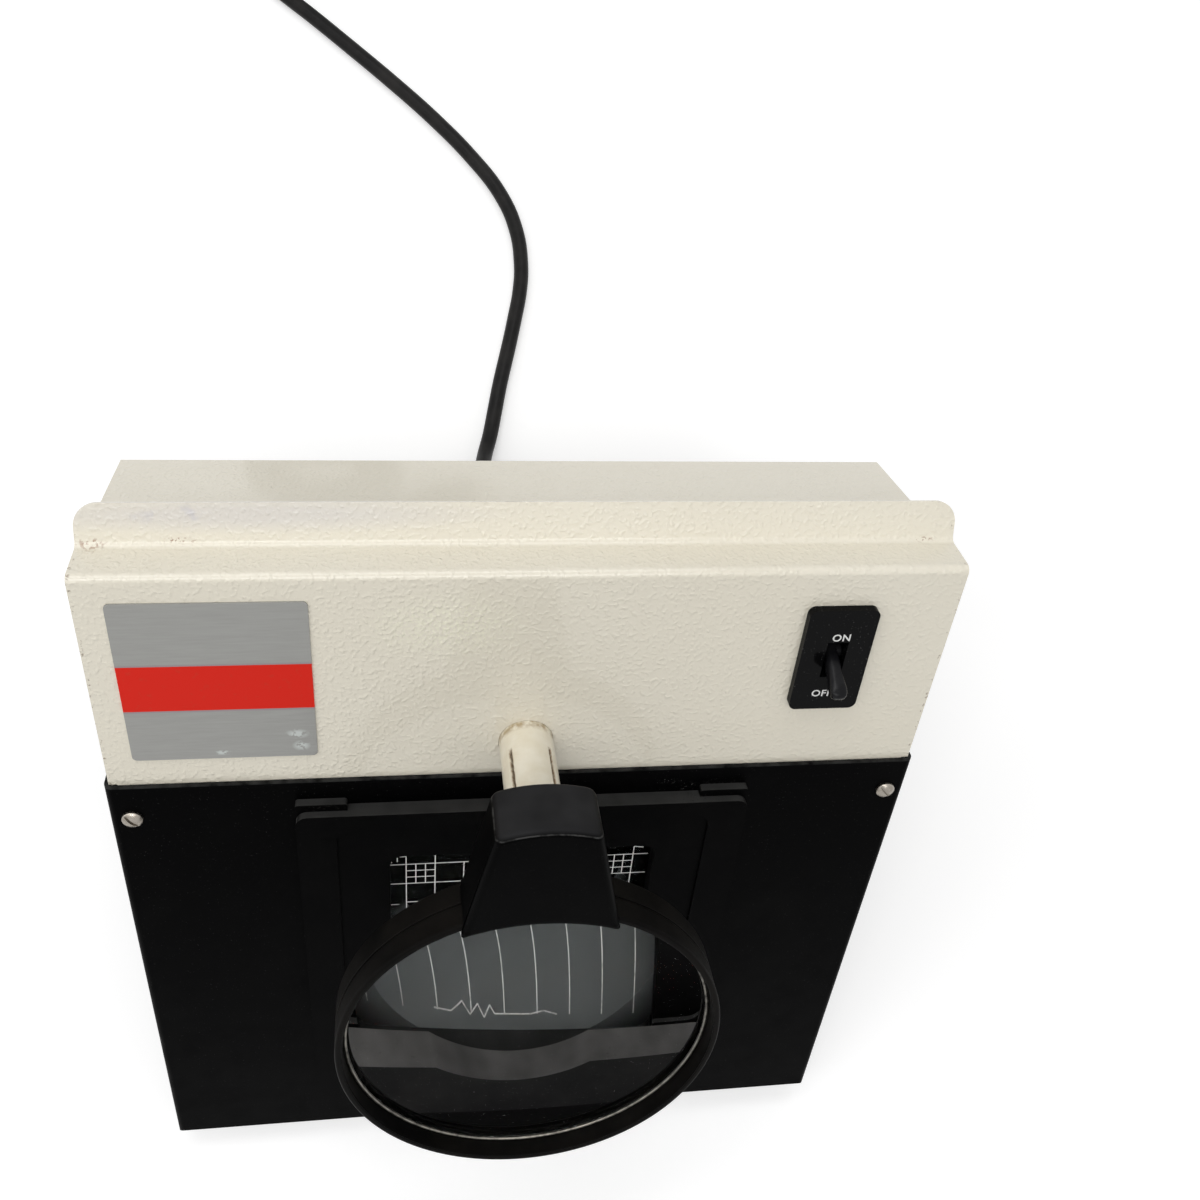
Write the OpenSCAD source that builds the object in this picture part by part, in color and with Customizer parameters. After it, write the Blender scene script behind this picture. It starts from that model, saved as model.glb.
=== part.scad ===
// Colony counter for 100 mm culture dishes. A folded steel case slopes up to a cream hood; a moulded
// stage with a ruled guide plate lies on the black face, lit from a lamp inside, and a magnifier
// slides and swings on a split post. Millimetres, +Z up, +Y towards the back of the case.
// The origin lies on the resting surface, under the middle of the case.
// "up" is measured along the sloping face from its lower edge, and "out" square to the face.

/* [Case] */
// Width over the black side walls
body_w = 267; // [250:1:300]
// Depth from the front wall to the outside of the rear panel
body_d = 238; // [225:1:280]
// Tilt of the face from level, degrees
face_tilt = 50; // [46:1:54]
// Length of the black face along its slope
face_len = 199; // [197:1:210]
// Height of the front wall below the face
front_h = 8; // [6:1:16]
// Height of the rubber feet
foot_h = 10; // [8:1:14]
// Radius of the rubber feet at the case
foot_r = 10.5; // [9:0.5:13]
// Inset of the feet from the case's sides, front and rear
foot_inset = 28; // [26:1:40]
// Thickness of the case's sheet steel
sheet_t = 1.2; // [0.9:0.1:1.5]
// Radius of the folds between the face and the side walls
fold_r = 2.5; // [2:0.1:3.5]
// Width of the turned-in flanges at the bottom and the rear
flange_w = 14; // [12:1:18]
// Clearance between sheets that slip inside each other
lap_gap = 0.3; // [0.2:0.05:0.4]

/* [Hood] */
// Height of the cream front panel above the black face, along the slope
hood_h = 80; // [76:1:90]
// How far the front panel runs down behind the black face
hood_tuck = 19; // [17:1:20]
// Depth of the shelf on top of the front panel
shelf_d = 15; // [12:1:20]
// Height of the standing lip along its own slope
lip_h = 12.8; // [9:0.2:16]
// Lean of the lip away from the face, degrees
lip_lean = 19; // [0:1:30]
// Radius of the lip's rounded ends
lip_r = 7; // [3:0.5:8]
// Radius of the bends in the hood sheets
bend_r = 2.4; // [2:0.1:3]
// Slope of the rear cover's roof below level, degrees
roof_slope = 47; // [44:1:50]
// Depth of the lap of the rear cover inside the black walls
cover_lap = 12; // [9:1:15]

/* [Stage] */
// Width of the moulded stage plate
stage_w = 150.6; // [145:0.2:156]
// Length of the moulded stage plate along the slope
stage_l = 160.4; // [156:0.2:162]
// Distance of the stage plate's lower edge up the face
stage_up = 28; // [24:1:30]
// Thickness of the stage plate
stage_t = 5.7; // [5:0.1:7]
// Corner radius of the stage plate
stage_r = 4; // [2:0.5:6]
// Width of the window
window_w = 91; // [86:0.2:96]
// Length of the window up the slope
window_l = 104; // [100:0.2:104]
// Corner radius of the window
window_r = 5; // [2:0.5:8]
// Distance of the window's centre up the face
window_up = 115; // [113:1:117]
// Width of the shallow recess around the window
recess_w = 125; // [118:1:130]
// Length of the recess above the dish rest
recess_l = 110.7; // [106:0.1:114]
// Depth of the recess
recess_t = 1; // [0.5:0.1:2]
// Width of the two lugs on the plate's upper corners
lug_w = 16.6; // [12:0.2:22]
// Rise of the lugs above the plate's upper edge
lug_h = 2.9; // [2:0.1:4]
// Diameter of the culture dish that the rest holds
dish_d = 100; // [95:1:105]
// Distance of the dish rest's upper side up the face
rest_up = 71; // [69:0.5:72]
// Height of the dish rest on the plate
rest_h = 9; // [6:0.5:12]
// Width of the dish rest along the slope
rest_w = 21; // [16:1:23]
// Length of the dish rest across the plate
rest_l = 124; // [110:1:130]
// Side of the glass guide plate
glass_w = 126; // [124:1:128]
// Thickness of the glass guide plate
glass_t = 3; // [2:0.2:4]
// Side of the opening in the black face
opening_w = 120; // [114:1:121]
// Radius of the two pegs that locate the stage plate
peg_r = 3; // [2:0.5:4]

/* [Magnifier] */
// Outer diameter of the split post
post_d = 17.5; // [16:0.1:20]
// Wall of the split post
post_wall = 1.9; // [1.5:0.1:2.5]
// Distance of the post to the right of the middle
post_x = -1.4; // [-3:0.1:3]
// Distance of the post up the face
post_up = 212.3; // [211:0.1:216]
// Height of the post's end above the face
post_out = 36; // [30:1:37]
// Width of the four slots in the post
slot_w = 0.9; // [0.8:0.1:1.6]
// Height above the face at which the slots begin
slot_start = 9; // [4:0.5:14]
// Running clearance of the stem in the post, on the radius
stem_gap = 0.05; // [0.03:0.01:0.08]
// Height of the arm's back above the face
arm_out = 40; // [40:1:48]
// Thickness of the arm
arm_t = 19.6; // [19:0.2:24]
// Width of the arm at its upper end
arm_top_w = 29.6; // [26:0.2:34]
// Width of the arm at the ring
arm_low_w = 48.6; // [44:0.2:54]
// Distance of the arm's upper end up the face
arm_up = 233.6; // [231:0.2:240]
// Distance of the lens centre up the face
lens_up = 136.5; // [133:0.5:138]
// Outer radius of the lens ring
ring_r = 61.9; // [59:0.1:65]
// Wall of the lens ring
ring_wall = 2.4; // [2:0.1:3]
// Depth of the lens ring
ring_h = 16.8; // [16.4:0.2:18]
// Lean of the ring, its lower edge standing further from the face
ring_lean = 3.9; // [0:0.1:5]
// Radius of curvature of both lens faces
lens_curve = 480; // [400:10:600]
// Thickness of the lens at its edge
lens_edge = 3; // [2.6:0.1:4]
// Greatest pull of the arm from where it stands
arm_pull = 28; // [10:1:30]

/* [Switch and nameplate] */
// Distance of the switch from the middle
switch_x = 94.5; // [88:0.5:105]
// Distance of the switch up the face
switch_up = 245.3; // [240:0.5:250]
// Width of the switch plate
switch_w = 22.6; // [20:0.2:26]
// Length of the switch plate
switch_l = 40; // [36:0.5:44]
// Thickness of the switch plate
switch_t = 2.8; // [2:0.1:4]
// Throw of the lever to each side, degrees
switch_throw = 24; // [15:1:26]
// Width of the nameplate
name_w = 56; // [40:1:60]
// Height of the nameplate
name_h = 60.4; // [40:1:62]
// Distance of the nameplate's centre from the middle
name_x = 95.2; // [90:0.5:98]
// Thickness of the nameplate
name_t = 0.6; // [0.4:0.1:1]

/* [Lamp] */
// Radius of the light well behind the guide plate
well_r = 65; // [62:0.5:66]
// Depth of the light well
well_d = 46; // [40:1:48]
// Radius of the dark stop
stop_r = 46; // [40:1:48]
// Distance of the lamp up the face
lamp_up = 205; // [203:1:208]
// Depth of the lamp behind the face
lamp_in = 55; // [53:1:58]
// Radius of the lamp's glass
bulb_r = 15; // [12:0.5:16]
// Length of the lamp's glass
bulb_l = 96; // [80:1:98]

/* [Cord] */
// Diameter of the mains cord
cord_d = 7.5; // [7:0.1:8]
// Outer radius of the cord's coil
coil_r = 53; // [53:1:56]
// Length of the plug's moulded body
plug_l = 38; // [34:1:42]
// Width of the plug's moulded body
plug_w = 28; // [26:1:32]
// Height of the plug's moulded body
plug_h = 24; // [22:1:26]

/* [Fasteners] */
// Radius of the pan heads
head_r = 3.25; // [2.8:0.05:3.6]
// Height of the pan heads
head_h = 2.2; // [1.8:0.1:2.6]
// Radius of the screw shanks
shank_r = 1.9; // [1.6:0.1:2]
// Clearance of the shanks in their holes, on the radius
shank_gap = 0.3; // [0.1:0.05:0.4]
// Height of the face screws up the face
face_screw_up = 185.2; // [184:0.2:187]
// Inset of the face screws from the side
face_screw_inset = 7.1; // [7:0.1:9]

/* [Hidden] */
$fn = 64;

BLACK = "#17181a";
CREAM = "#ddd6c6";
STEEL = "#b9bcc0";
MOULDED = "#26272a";

// Side view of the case: a point "up" the face and "out" from it, as depth and height
face_z = foot_h + front_h;
case_mid = body_d / 2;
function face_y(up, out) = up * cos(face_tilt) - out * sin(face_tilt);
function face_h(up, out) = face_z + up * sin(face_tilt) + out * cos(face_tilt);
function side(up, out) = [face_y(up, out), face_h(up, out)];
// How far out from the face the point lies that is "up" along it and at depth y
function out_at(up, y) = (up * cos(face_tilt) - y) / sin(face_tilt);

inner_w = body_w - 2 * sheet_t;
hood_w = inner_w - 2 * lap_gap;
setback = sheet_t + lap_gap;
hood_top = face_len + hood_h;
hood_back = setback + sheet_t;
seam_rear_z = face_h(face_len, out_at(face_len, body_d));
cover_y = body_d - sheet_t - lap_gap;
cover_low = face_len - cover_lap;
screw_x = body_w / 2 - face_screw_inset;
plate_gap = 0.3;
stage_top = stage_up + stage_l;
stage_mid = stage_up + stage_l / 2;
stage_front = plate_gap + stage_t;
glass_top = -sheet_t - plate_gap;
glass_back = glass_top - glass_t;
well_front = glass_back - plate_gap;
well_back = well_front - well_d;
stud_x = glass_w / 2 + 5.5;
stud_up = glass_w / 2 - 7;
post_bore = post_d / 2 - post_wall;
stem_r = post_bore - stem_gap;
ring_back = arm_out + 2.8;
ring_front = ring_back + ring_h;
ring_bore = ring_r - ring_wall;
lens_r = ring_bore - 0.2;
seat_out = ring_back + 6;
seat_r = ring_bore - 2.2;
lens_sag = lens_curve - sqrt(lens_curve * lens_curve - lens_r * lens_r);
seat_sag = lens_curve - sqrt(lens_curve * lens_curve - seat_r * seat_r);
lens_mid = seat_out + 0.2 + lens_sag - seat_sag + lens_edge / 2;
wire_r = 0.6;
cord_r = cord_d / 2;
cord_x = -3;
cord_z = 24;
relief_r = 8.5;
coil_x = -90;
coil_y = 506;
coil_in = 26;
coil_low = 0.8;
coil_h = 2 * cord_d + 0.3;

// Cord from inside the rear panel to its coil, along the middle, and from the coil to the plug
CORD_ROUTE = [[-3, 108, 24], [-3, 119, 24], [-3, 135, 24], [-3, 150, 23.6], [-2, 161, 20], [0, 170, 13.5],
    [2, 179, 7.5], [5, 190, 4.4], [8, 204, 3.75], [11, 218, 3.75], [15.5, 236, 3.75], [19.5, 253, 3.75],
    [22.8, 269, 3.75], [24, 284, 3.75], [22, 304, 3.75], [14.5, 324, 3.75], [0, 345, 3.75],
    [-19.5, 367, 3.75], [-41, 388, 3.75], [-64, 409, 3.75], [-82, 425, 3.8], [-98, 438.5, 3.9],
    [-112, 451.5, 4.1], [-124, 465, 4.4], [-132, 478, 4.6]];
TAIL_ROUTE = [[-92, 555, 12.2], [-76, 554.6, 12.2], [-60, 553.4, 12.2], [-44, 552, 12.2], [-36, 551.3, 12.2]];
PLUG_AT = [-40, 551.6, 12.2];
PLUG_TURN = -5;

// ---------- shared shapes ----------

module in_case() translate([0, -case_mid, 0]) children();

module on_face(x = 0, up = 0, out = 0)
    in_case() translate([0, 0, face_z]) rotate([face_tilt, 0, 0]) translate([x, up, out]) children();

// A side profile, drawn as depth and height, made w wide about the middle
module across(w) translate([-w / 2, 0, 0]) rotate([90, 0, 90]) linear_extrude(w) children();

module rounded(w, h, r) {
    square([w - 2 * r, h], center = true);
    square([w, h - 2 * r], center = true);
    for (x = [-1, 1], y = [-1, 1]) translate([x * (w / 2 - r), y * (h / 2 - r)]) circle(r);
}

function arc(centre, r, from, to, steps = 8) =
    [for (i = [0:steps]) centre + r * [cos(from + (to - from) * i / steps), sin(from + (to - from) * i / steps)]];
function right_of(a, b) = [b[1] - a[1], a[0] - b[0]] / norm(b - a);
// Sheet of thickness t on the right-hand side of a path
module strip(path, t) {
    last = len(path) - 1;
    inside = [for (i = [last:-1:0])
        let (n1 = right_of(path[max(i - 1, 0)], path[max(i, 1)]),
            n2 = right_of(path[min(i, last - 1)], path[min(i + 1, last)]))
        path[i] + t * (n1 + n2) / (1 + n1 * n2)];
    polygon(concat(path, inside));
}

// Slotted pan-head screw, head up, standing on z = 0
module pan_screw(length, turn = 0) {
    dome = (head_r * head_r + head_h * head_h) / (2 * head_h) + 1.2;
    difference() {
        intersection() {
            cylinder(h = head_h, r = head_r);
            translate([0, 0, head_h - dome]) sphere(dome);
        }
        rotate([0, 0, turn]) translate([-head_r - 1, -0.5, head_h - 1.1]) cube([2 * head_r + 2, 1, 2]);
    }
    translate([0, 0, -length]) cylinder(h = length + 0.5, r = shank_r);
}

module hex_nut(across_flats, h, hole_r) difference() {
    cylinder(h = h, r = across_flats / sqrt(3), $fn = 6);
    translate([0, 0, -1]) cylinder(h = h + 2, r = hole_r);
}

// ---------- black case ----------

// Everything the folded face and side walls lie within, t inside their outer surface
module fold_limits(t) {
    w = body_w - 2 * t;
    r = fold_r - t;
    in_face_x = w / 2 - r;
    translate([0, 0, face_z]) rotate([face_tilt, 0, 0]) translate([0, 2 * body_d, -t])
        rotate([90, 0, 0]) linear_extrude(4 * body_d) {
            translate([-w / 2, -2 * body_d]) square([w, 2 * body_d - r]);
            translate([-in_face_x, -2 * body_d]) square([2 * in_face_x, 2 * body_d]);
            for (s = [-1, 1]) translate([s * in_face_x, -r]) circle(r);
        }
}

module base_shell() color(BLACK) in_case() {
    corner_up = sheet_t * (1 - sin(face_tilt)) / cos(face_tilt);
    difference() {
        intersection() {
            across(body_w) polygon([[0, foot_h], side(0, 0), side(face_len, 0),
                [body_d, seam_rear_z], [body_d, foot_h]]);
            fold_limits(0);
        }
        intersection() {
            across(inner_w) polygon([[sheet_t, foot_h - 1], side(corner_up, -sheet_t),
                side(face_len + 1, -sheet_t), [body_d, face_h(face_len, 0)], [body_d + 1, foot_h + body_d],
                [body_d + 1, foot_h - 1]]);
            fold_limits(sheet_t);
        }
        face_holes() {
            linear_extrude(4, center = true) translate([0, window_up]) rounded(opening_w, opening_w, 3);
            for (s = [-1, 1]) {
                translate([s * screw_x, face_screw_up, -3]) cylinder(h = 6, r = shank_r + shank_gap);
                translate([s * peg_x(), peg_up(), -3]) cylinder(h = 6, r = peg_r + 0.2);
            }
        }
    }
    difference() {
        translate([0, 0, foot_h + sheet_t]) linear_extrude(sheet_t) difference() {
            translate([-inner_w / 2 - 0.2, sheet_t - 0.2]) square([inner_w + 0.4, body_d - 2 * sheet_t]);
            translate([-inner_w / 2 + flange_w, sheet_t + flange_w])
                square([inner_w - 2 * flange_w, body_d]);
        }
        bottom_screw_places() translate([0, 0, -5]) cylinder(h = 20, r = shank_r + 0.05);
    }
}
module face_holes() translate([0, 0, face_z]) rotate([face_tilt, 0, 0]) children();
function peg_x() = stage_w / 2 - 9.3;
function peg_up() = stage_up + 10;

module bottom_screw_places()
    for (x = [-1, 1], y = [0.28, 0.72])
        translate([x * (inner_w / 2 - flange_w * 0.55), body_d * y, foot_h]) children();

module foot_places()
    for (x = [-1, 1], y = [foot_inset, body_d - foot_inset])
        translate([x * (body_w / 2 - foot_inset), y, 0]) children();

module bottom_plate() color("#2b2c2e") in_case() difference() {
    margin = sheet_t + lap_gap;
    translate([0, body_d / 2, foot_h]) linear_extrude(sheet_t)
        rounded(body_w - 2 * margin, body_d - 2 * margin, 2);
    for (y = [0.36, 0.64], i = [-3:3]) translate([i * 18, body_d * y, foot_h - 1])
        linear_extrude(sheet_t + 2) rounded(3.2, 40, 1.5);
    bottom_screw_places() translate([0, 0, -1]) cylinder(h = sheet_t + 2, r = shank_r + shank_gap);
    foot_places() translate([0, 0, foot_h - 1]) cylinder(h = sheet_t + 2, r = shank_r + shank_gap);
}

module rear_panel() color(BLACK) in_case() {
    w = inner_w - 0.3;
    low_h = seam_rear_z - foot_h - cover_lap - 8;
    difference() {
        translate([-w / 2, body_d - sheet_t, foot_h]) cube([w, sheet_t, seam_rear_z - foot_h]);
        translate([cord_x, body_d + 1, cord_z]) rotate([90, 0, 0]) cylinder(h = sheet_t + 2, r = 6.4);
        for (i = [-3:3]) translate([i * 12 + 62, body_d + 1, foot_h + 34]) rotate([90, 0, 0])
            linear_extrude(sheet_t + 2) rounded(3.2, 30, 1.5);
        rear_screw_places() cylinder(h = 10, r = shank_r + shank_gap, center = true);
    }
    for (s = [0, 1]) mirror([s, 0, 0]) translate([w / 2 - sheet_t, body_d - sheet_t - 10, foot_h + 3])
        cube([sheet_t, 10.2, low_h]);
}
module rear_screw_places()
    for (x = [-1, 1]) translate([x * 0.36 * body_w, body_d, seam_rear_z - cover_lap / 2])
        rotate([-90, 0, 0]) children();

module rubber_feet() color("#202022") in_case() foot_places() difference() {
    cylinder(h = foot_h, r1 = foot_r - 1.2, r2 = foot_r);
    translate([0, 0, -1]) cylinder(h = 6, r = head_r + 1);
    cylinder(h = foot_h + 1, r = shank_r + 0.2);
}

module foot_screws() color(STEEL) in_case() foot_places()
    translate([0, 0, 5]) mirror([0, 0, 1]) pan_screw(foot_h + sheet_t, 20);

module foot_nuts() color(STEEL) in_case() foot_places()
    translate([0, 0, foot_h + sheet_t]) hex_nut(7, 3, shank_r + 0.05);

module bottom_screws() color(STEEL) in_case() bottom_screw_places()
    mirror([0, 0, 1]) pan_screw(2 * sheet_t + 5, 35);

// ---------- cream hood ----------

module hood_front() color(CREAM) {
    turn = 90 - lip_lean;
    corner = [hood_top, -setback - shelf_d];
    inner_c = [hood_top + bend_r, corner[1] + bend_r * tan(turn / 2)];
    lip_dir = [cos(lip_lean), -sin(lip_lean)];
    path = concat([[face_len - hood_tuck, -setback]],
        arc([hood_top - bend_r, -setback - bend_r], bend_r, 90, 0),
        arc(inner_c, bend_r, 180, 180 + turn),
        [corner + lip_h * lip_dir]);
    on_face() difference() {
        across(hood_w) strip(path, sheet_t);
        translate([0, corner[0], corner[1]]) rotate([-lip_lean, 0, 0]) for (s = [0, 1]) mirror([s, 0, 0])
            translate([hood_w / 2 - lip_r, lip_h - lip_r, -5]) linear_extrude(10) difference() {
                square(lip_r + 1);
                circle(lip_r);
            }
        for (s = [0, 1]) mirror([s, 0, 0]) translate([hood_w / 2 - fold_r, 0, -setback - 5])
            cube([fold_r + 1, face_len + 0.1, 10]);
        translate([post_x, post_up, -setback - 5]) cylinder(h = 10, r = post_d / 2 + 0.1);
        translate([switch_x, switch_up, -setback]) cube([12, 20, 10], center = true);
        for (s = [-1, 1]) translate([s * screw_x, face_screw_up, -setback - 5])
            cylinder(h = 10, r = shank_r + shank_gap);
    }
}

// Outer line of the rear cover's roof and back, from under the shelf to the lap
function cover_path() =
    let (start = side(hood_top - sheet_t - lap_gap - 0.3, -setback - shelf_d + 3.2),
        ridge = [cover_y, start[1] - (cover_y - start[0]) * tan(roof_slope)],
        half = (90 - roof_slope) / 2,
        run = bend_r * tan(half),
        centre = ridge + [-bend_r, -run])
    concat([start], arc(centre, bend_r, 90 - roof_slope, 0),
        [[cover_y, face_h(cover_low, out_at(cover_low, cover_y))]]);

module rear_cover() color(CREAM) in_case() difference() {
    front_out = -hood_back - lap_gap;
    path = cover_path();
    union() {
        across(hood_w) strip(path, sheet_t);
        for (s = [0, 1]) mirror([s, 0, 0]) translate([hood_w / 2 - sheet_t, 0, 0])
            rotate([90, 0, 90]) linear_extrude(sheet_t)
                polygon(concat([side(cover_low, front_out), side(hood_top - sheet_t - lap_gap - 0.3, front_out)],
                    path));
    }
    rear_screw_places() cylinder(h = 20, r = shank_r + 0.05, center = true);
    translate([cord_x, body_d, cord_z]) rotate([90, 0, 0]) cylinder(h = 20, r = relief_r + lap_gap);
}

module rear_screws() color(STEEL) in_case() rear_screw_places() pan_screw(2 * sheet_t + 6, 0);

module face_screws() color(STEEL)
    for (s = [-1, 1]) on_face(s * screw_x, face_screw_up, 0) pan_screw(10, -48);

module face_nuts() color(STEEL)
    for (s = [-1, 1]) on_face(s * screw_x, face_screw_up, -hood_back - 3) hex_nut(7, 3, shank_r + 0.05);

module nameplate() color("#b4b6b6")
    on_face(-name_x, face_len + hood_h / 2 + 0.8, -setback) linear_extrude(name_t) rounded(name_w, name_h, 1.6);

// ---------- stage and light ----------

module stage_plate() color(MOULDED) on_face() {
    difference() {
        union() {
            translate([0, stage_mid, plate_gap]) linear_extrude(stage_t) rounded(stage_w, stage_l, stage_r);
            for (s = [0, 1]) mirror([s, 0, 0])
                translate([stage_w / 2 - lug_w, stage_top - 1 - stage_r, plate_gap]) linear_extrude(3)
                    translate([lug_w / 2, (lug_h + stage_r + 1) / 2]) rounded(lug_w, lug_h + stage_r + 1, 1);
        }
        translate([0, window_up, -1]) linear_extrude(20) rounded(window_w, window_l, window_r);
        translate([0, rest_up + 1 + recess_l / 2, stage_front - recess_t]) linear_extrude(5)
            rounded(recess_w, recess_l, 6);
    }
    for (s = [-1, 1]) translate([s * peg_x(), peg_up(), -3.2]) cylinder(h = 3.6, r = peg_r);
}

module dish_rest() color(MOULDED) on_face() difference() {
    translate([0, rest_up - rest_w / 2, stage_front]) linear_extrude(rest_h) rounded(rest_l, rest_w, 3);
    translate([0, window_up, stage_front - 1]) cylinder(h = rest_h + 2, r = dish_d / 2 + 0.5, $fn = 128);
}

module guide_plate() color("#3a4a4e", 0.6)
    on_face(0, window_up, glass_back) linear_extrude(glass_t) rounded(glass_w, glass_w, 2);

module stud_places() for (x = [-1, 1], y = [-1, 1])
    on_face(x * stud_x, window_up + y * stud_up, 0) children();

module light_well() color("#e8e8e4") on_face(0, window_up, 0) difference() {
    union() {
        translate([0, 0, well_front - 1]) linear_extrude(1) rounded(2 * stud_x + 12, 2 * well_r + 2, 4);
        translate([0, 0, well_back]) cylinder(h = well_d, r = well_r);
    }
    translate([0, 0, well_back + 1]) cylinder(h = well_d + 5, r = well_r - 1);
    translate([-45, well_r * 0.7, well_back + 10]) cube([90, well_r, well_d - 18]);
    for (x = [-1, 1], y = [-1, 1]) translate([x * stud_x, y * stud_up, well_front - 2])
        cylinder(h = 5, r = shank_r + shank_gap);
}

module well_studs() color(STEEL) stud_places() {
    translate([0, 0, well_front - 6]) cylinder(h = -sheet_t - well_front + 6, r = shank_r);
    translate([0, 0, well_front + 0.05]) cylinder(h = -sheet_t - well_front - 0.05, r = 3.4);
}

module well_nuts() color(STEEL) stud_places() translate([0, 0, well_front - 4]) hex_nut(7, 3, shank_r + 0.05);

module dark_stop() color("#0a0a0a") on_face(0, window_up, well_back + 1) {
    cylinder(h = 12, r = 6);
    translate([0, 0, 11]) cylinder(h = 1.5, r = stop_r);
}

// Children are drawn with +Z along the lamp, which points to -X; z = 0 is at x
module along_lamp(x) on_face(x, lamp_up, -lamp_in) rotate([0, -90, 0]) children();

socket_back = 82;
socket_l = 32;
cap_r = 13.1;

module lamp_bracket() color(STEEL) on_face() {
    low = lamp_up - 20;
    translate([socket_back, low, -lamp_in - 20]) cube([sheet_t, 40, lamp_in + 20 - hood_back]);
    translate([socket_back, low, -hood_back - sheet_t]) cube([18, 40, sheet_t]);
}

module lamp_socket() color("#e4e0d6") along_lamp(socket_back) difference() {
    cylinder(h = socket_l, r = 18);
    translate([0, 0, 5]) cylinder(h = socket_l, r = cap_r + 0.3);
}

module bulb_cap() color("#c9a24a") along_lamp(socket_back - 6) difference() {
    cylinder(h = 28, r = cap_r);
    translate([0, 0, 26]) cylinder(h = 3, r = cap_r - 1);
}

module bulb_glass() color("#f2efe4", 0.8) along_lamp(socket_back - 32.2) {
    cylinder(h = 4, r = cap_r - 1.2);
    translate([0, 0, 3.5]) cylinder(h = 8, r1 = cap_r - 1.2, r2 = bulb_r);
    translate([0, 0, 11]) cylinder(h = bulb_l - 11 - bulb_r, r = bulb_r);
    translate([0, 0, bulb_l - bulb_r]) sphere(bulb_r);
}

module lamp_shield() color("#d8dadc") along_lamp(socket_back) difference() {
    cylinder(h = 128, r = 23);
    translate([0, 0, -1]) cylinder(h = 130, r = 22.2);
    translate([-30, -60, -1]) cube([60, 60, 130]);
}

// ---------- magnifier ----------

module post_tube() color(CREAM) on_face(post_x, post_up, 0) difference() {
    translate([0, 0, -12]) cylinder(h = post_out + 12, r = post_d / 2);
    translate([0, 0, -13]) cylinder(h = post_out + 14, r = post_bore);
    for (a = [45, 135]) rotate([0, 0, a])
        translate([-post_d, -slot_w / 2, slot_start]) cube([2 * post_d, slot_w, post_out]);
}

module post_collar() color(STEEL) on_face(post_x, post_up, -hood_back - 6) difference() {
    cylinder(h = 6, r = post_d / 2 + 5);
    translate([0, 0, -1]) cylinder(h = 8, r = post_d / 2 + 0.05);
}

module arm_stem() color(STEEL) on_face(post_x, post_up, 0)
    translate([0, 0, -20]) cylinder(h = arm_out + arm_t - 3.4 + 20, r = stem_r);

module lens_arm() color(MOULDED) difference() {
    low = lens_up + ring_bore * 0.88;
    crown = 2.7;
    half = arm_top_w / 2;
    crown_r = (half * half + crown * crown) / (2 * crown);
    reach = asin(half / crown_r);
    on_face(post_x, 0, arm_out) linear_extrude(arm_t)
        polygon(concat([[arm_low_w / 2, low]],
            arc([0, arm_up + crown - crown_r], crown_r, 90 - reach, 90 + reach, 10), [[-arm_low_w / 2, low]]));
    on_lens_axis() translate([0, 0, arm_out - 8]) {
        cylinder(h = ring_front + 0.2 - arm_out + 8, r = ring_r + 0.1, $fn = 128);
        cylinder(h = arm_t + 20, r = ring_bore, $fn = 128);
    }
    on_face(post_x, post_up, arm_out - 1) cylinder(h = arm_t - 3 + 1, r = stem_r + stem_gap);
}

// Stands children on the leaning axis of the lens; heights count from the face at the ring's front
module on_lens_axis() on_face(post_x, lens_up, ring_front) rotate([-ring_lean, 0, 0])
    translate([0, 0, -ring_front]) children();

// Turned section about the lens axis; points are radius and height
module about_lens() on_lens_axis() rotate_extrude($fn = 128) children();

module lens_ring() color(MOULDED) about_lens() polygon([[seat_r, seat_out - 2.2], [ring_bore, seat_out - 2.2],
    [ring_bore, ring_back + 1], [ring_bore + 0.6, ring_back], [ring_r, ring_back], [ring_r, ring_back + 8],
    [ring_bore, ring_back + 8], [ring_bore, seat_out], [seat_r, seat_out]]);

module lens_bezel() color(MOULDED) about_lens() polygon([[ring_bore, ring_back + 8], [ring_r - 0.3, ring_back + 8],
    [ring_r - 0.3, ring_back + 8.6], [ring_r, ring_back + 8.9], [ring_r, ring_front - 0.6],
    [ring_r - 0.6, ring_front], [ring_bore + 0.4, ring_front], [ring_bore, ring_front - 0.4]]);

module lens_retainer() color("#8a8576") about_lens()
    translate([lens_r - wire_r, lens_mid + lens_edge / 2 + wire_r + 0.4]) circle(wire_r, $fn = 24);

module lens() color("#dfe8ea", 0.5) on_lens_axis() translate([0, 0, lens_mid]) intersection() {
    centre = lens_curve - lens_edge / 2 - lens_sag;
    cylinder(h = 40, r = lens_r, center = true, $fn = 128);
    translate([0, 0, centre]) sphere(lens_curve, $fn = 256);
    translate([0, 0, -centre]) sphere(lens_curve, $fn = 256);
}

// ---------- switch ----------

pivot_in = 4;
lever_up = switch_up + 0.5;

module switch_plate() color("#111214") on_face(switch_x, 0, -setback) difference() {
    translate([0, switch_up, 0]) linear_extrude(switch_t) rounded(switch_w, switch_l, 2.5);
    translate([0, lever_up, switch_t / 2]) cube([6.8, 14, switch_t + 2], center = true);
}

module switch_body() color("#1a1a1a") on_face(switch_x, lever_up, -hood_back) difference() {
    union() {
        translate([-10, -15, -20]) cube([20, 30, 20]);
        translate([-5.6, -9, -1]) cube([11.2, 18, 1 + sheet_t]);
    }
    translate([-3.8, -7, -8]) cube([7.6, 14, 12]);
}

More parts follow.
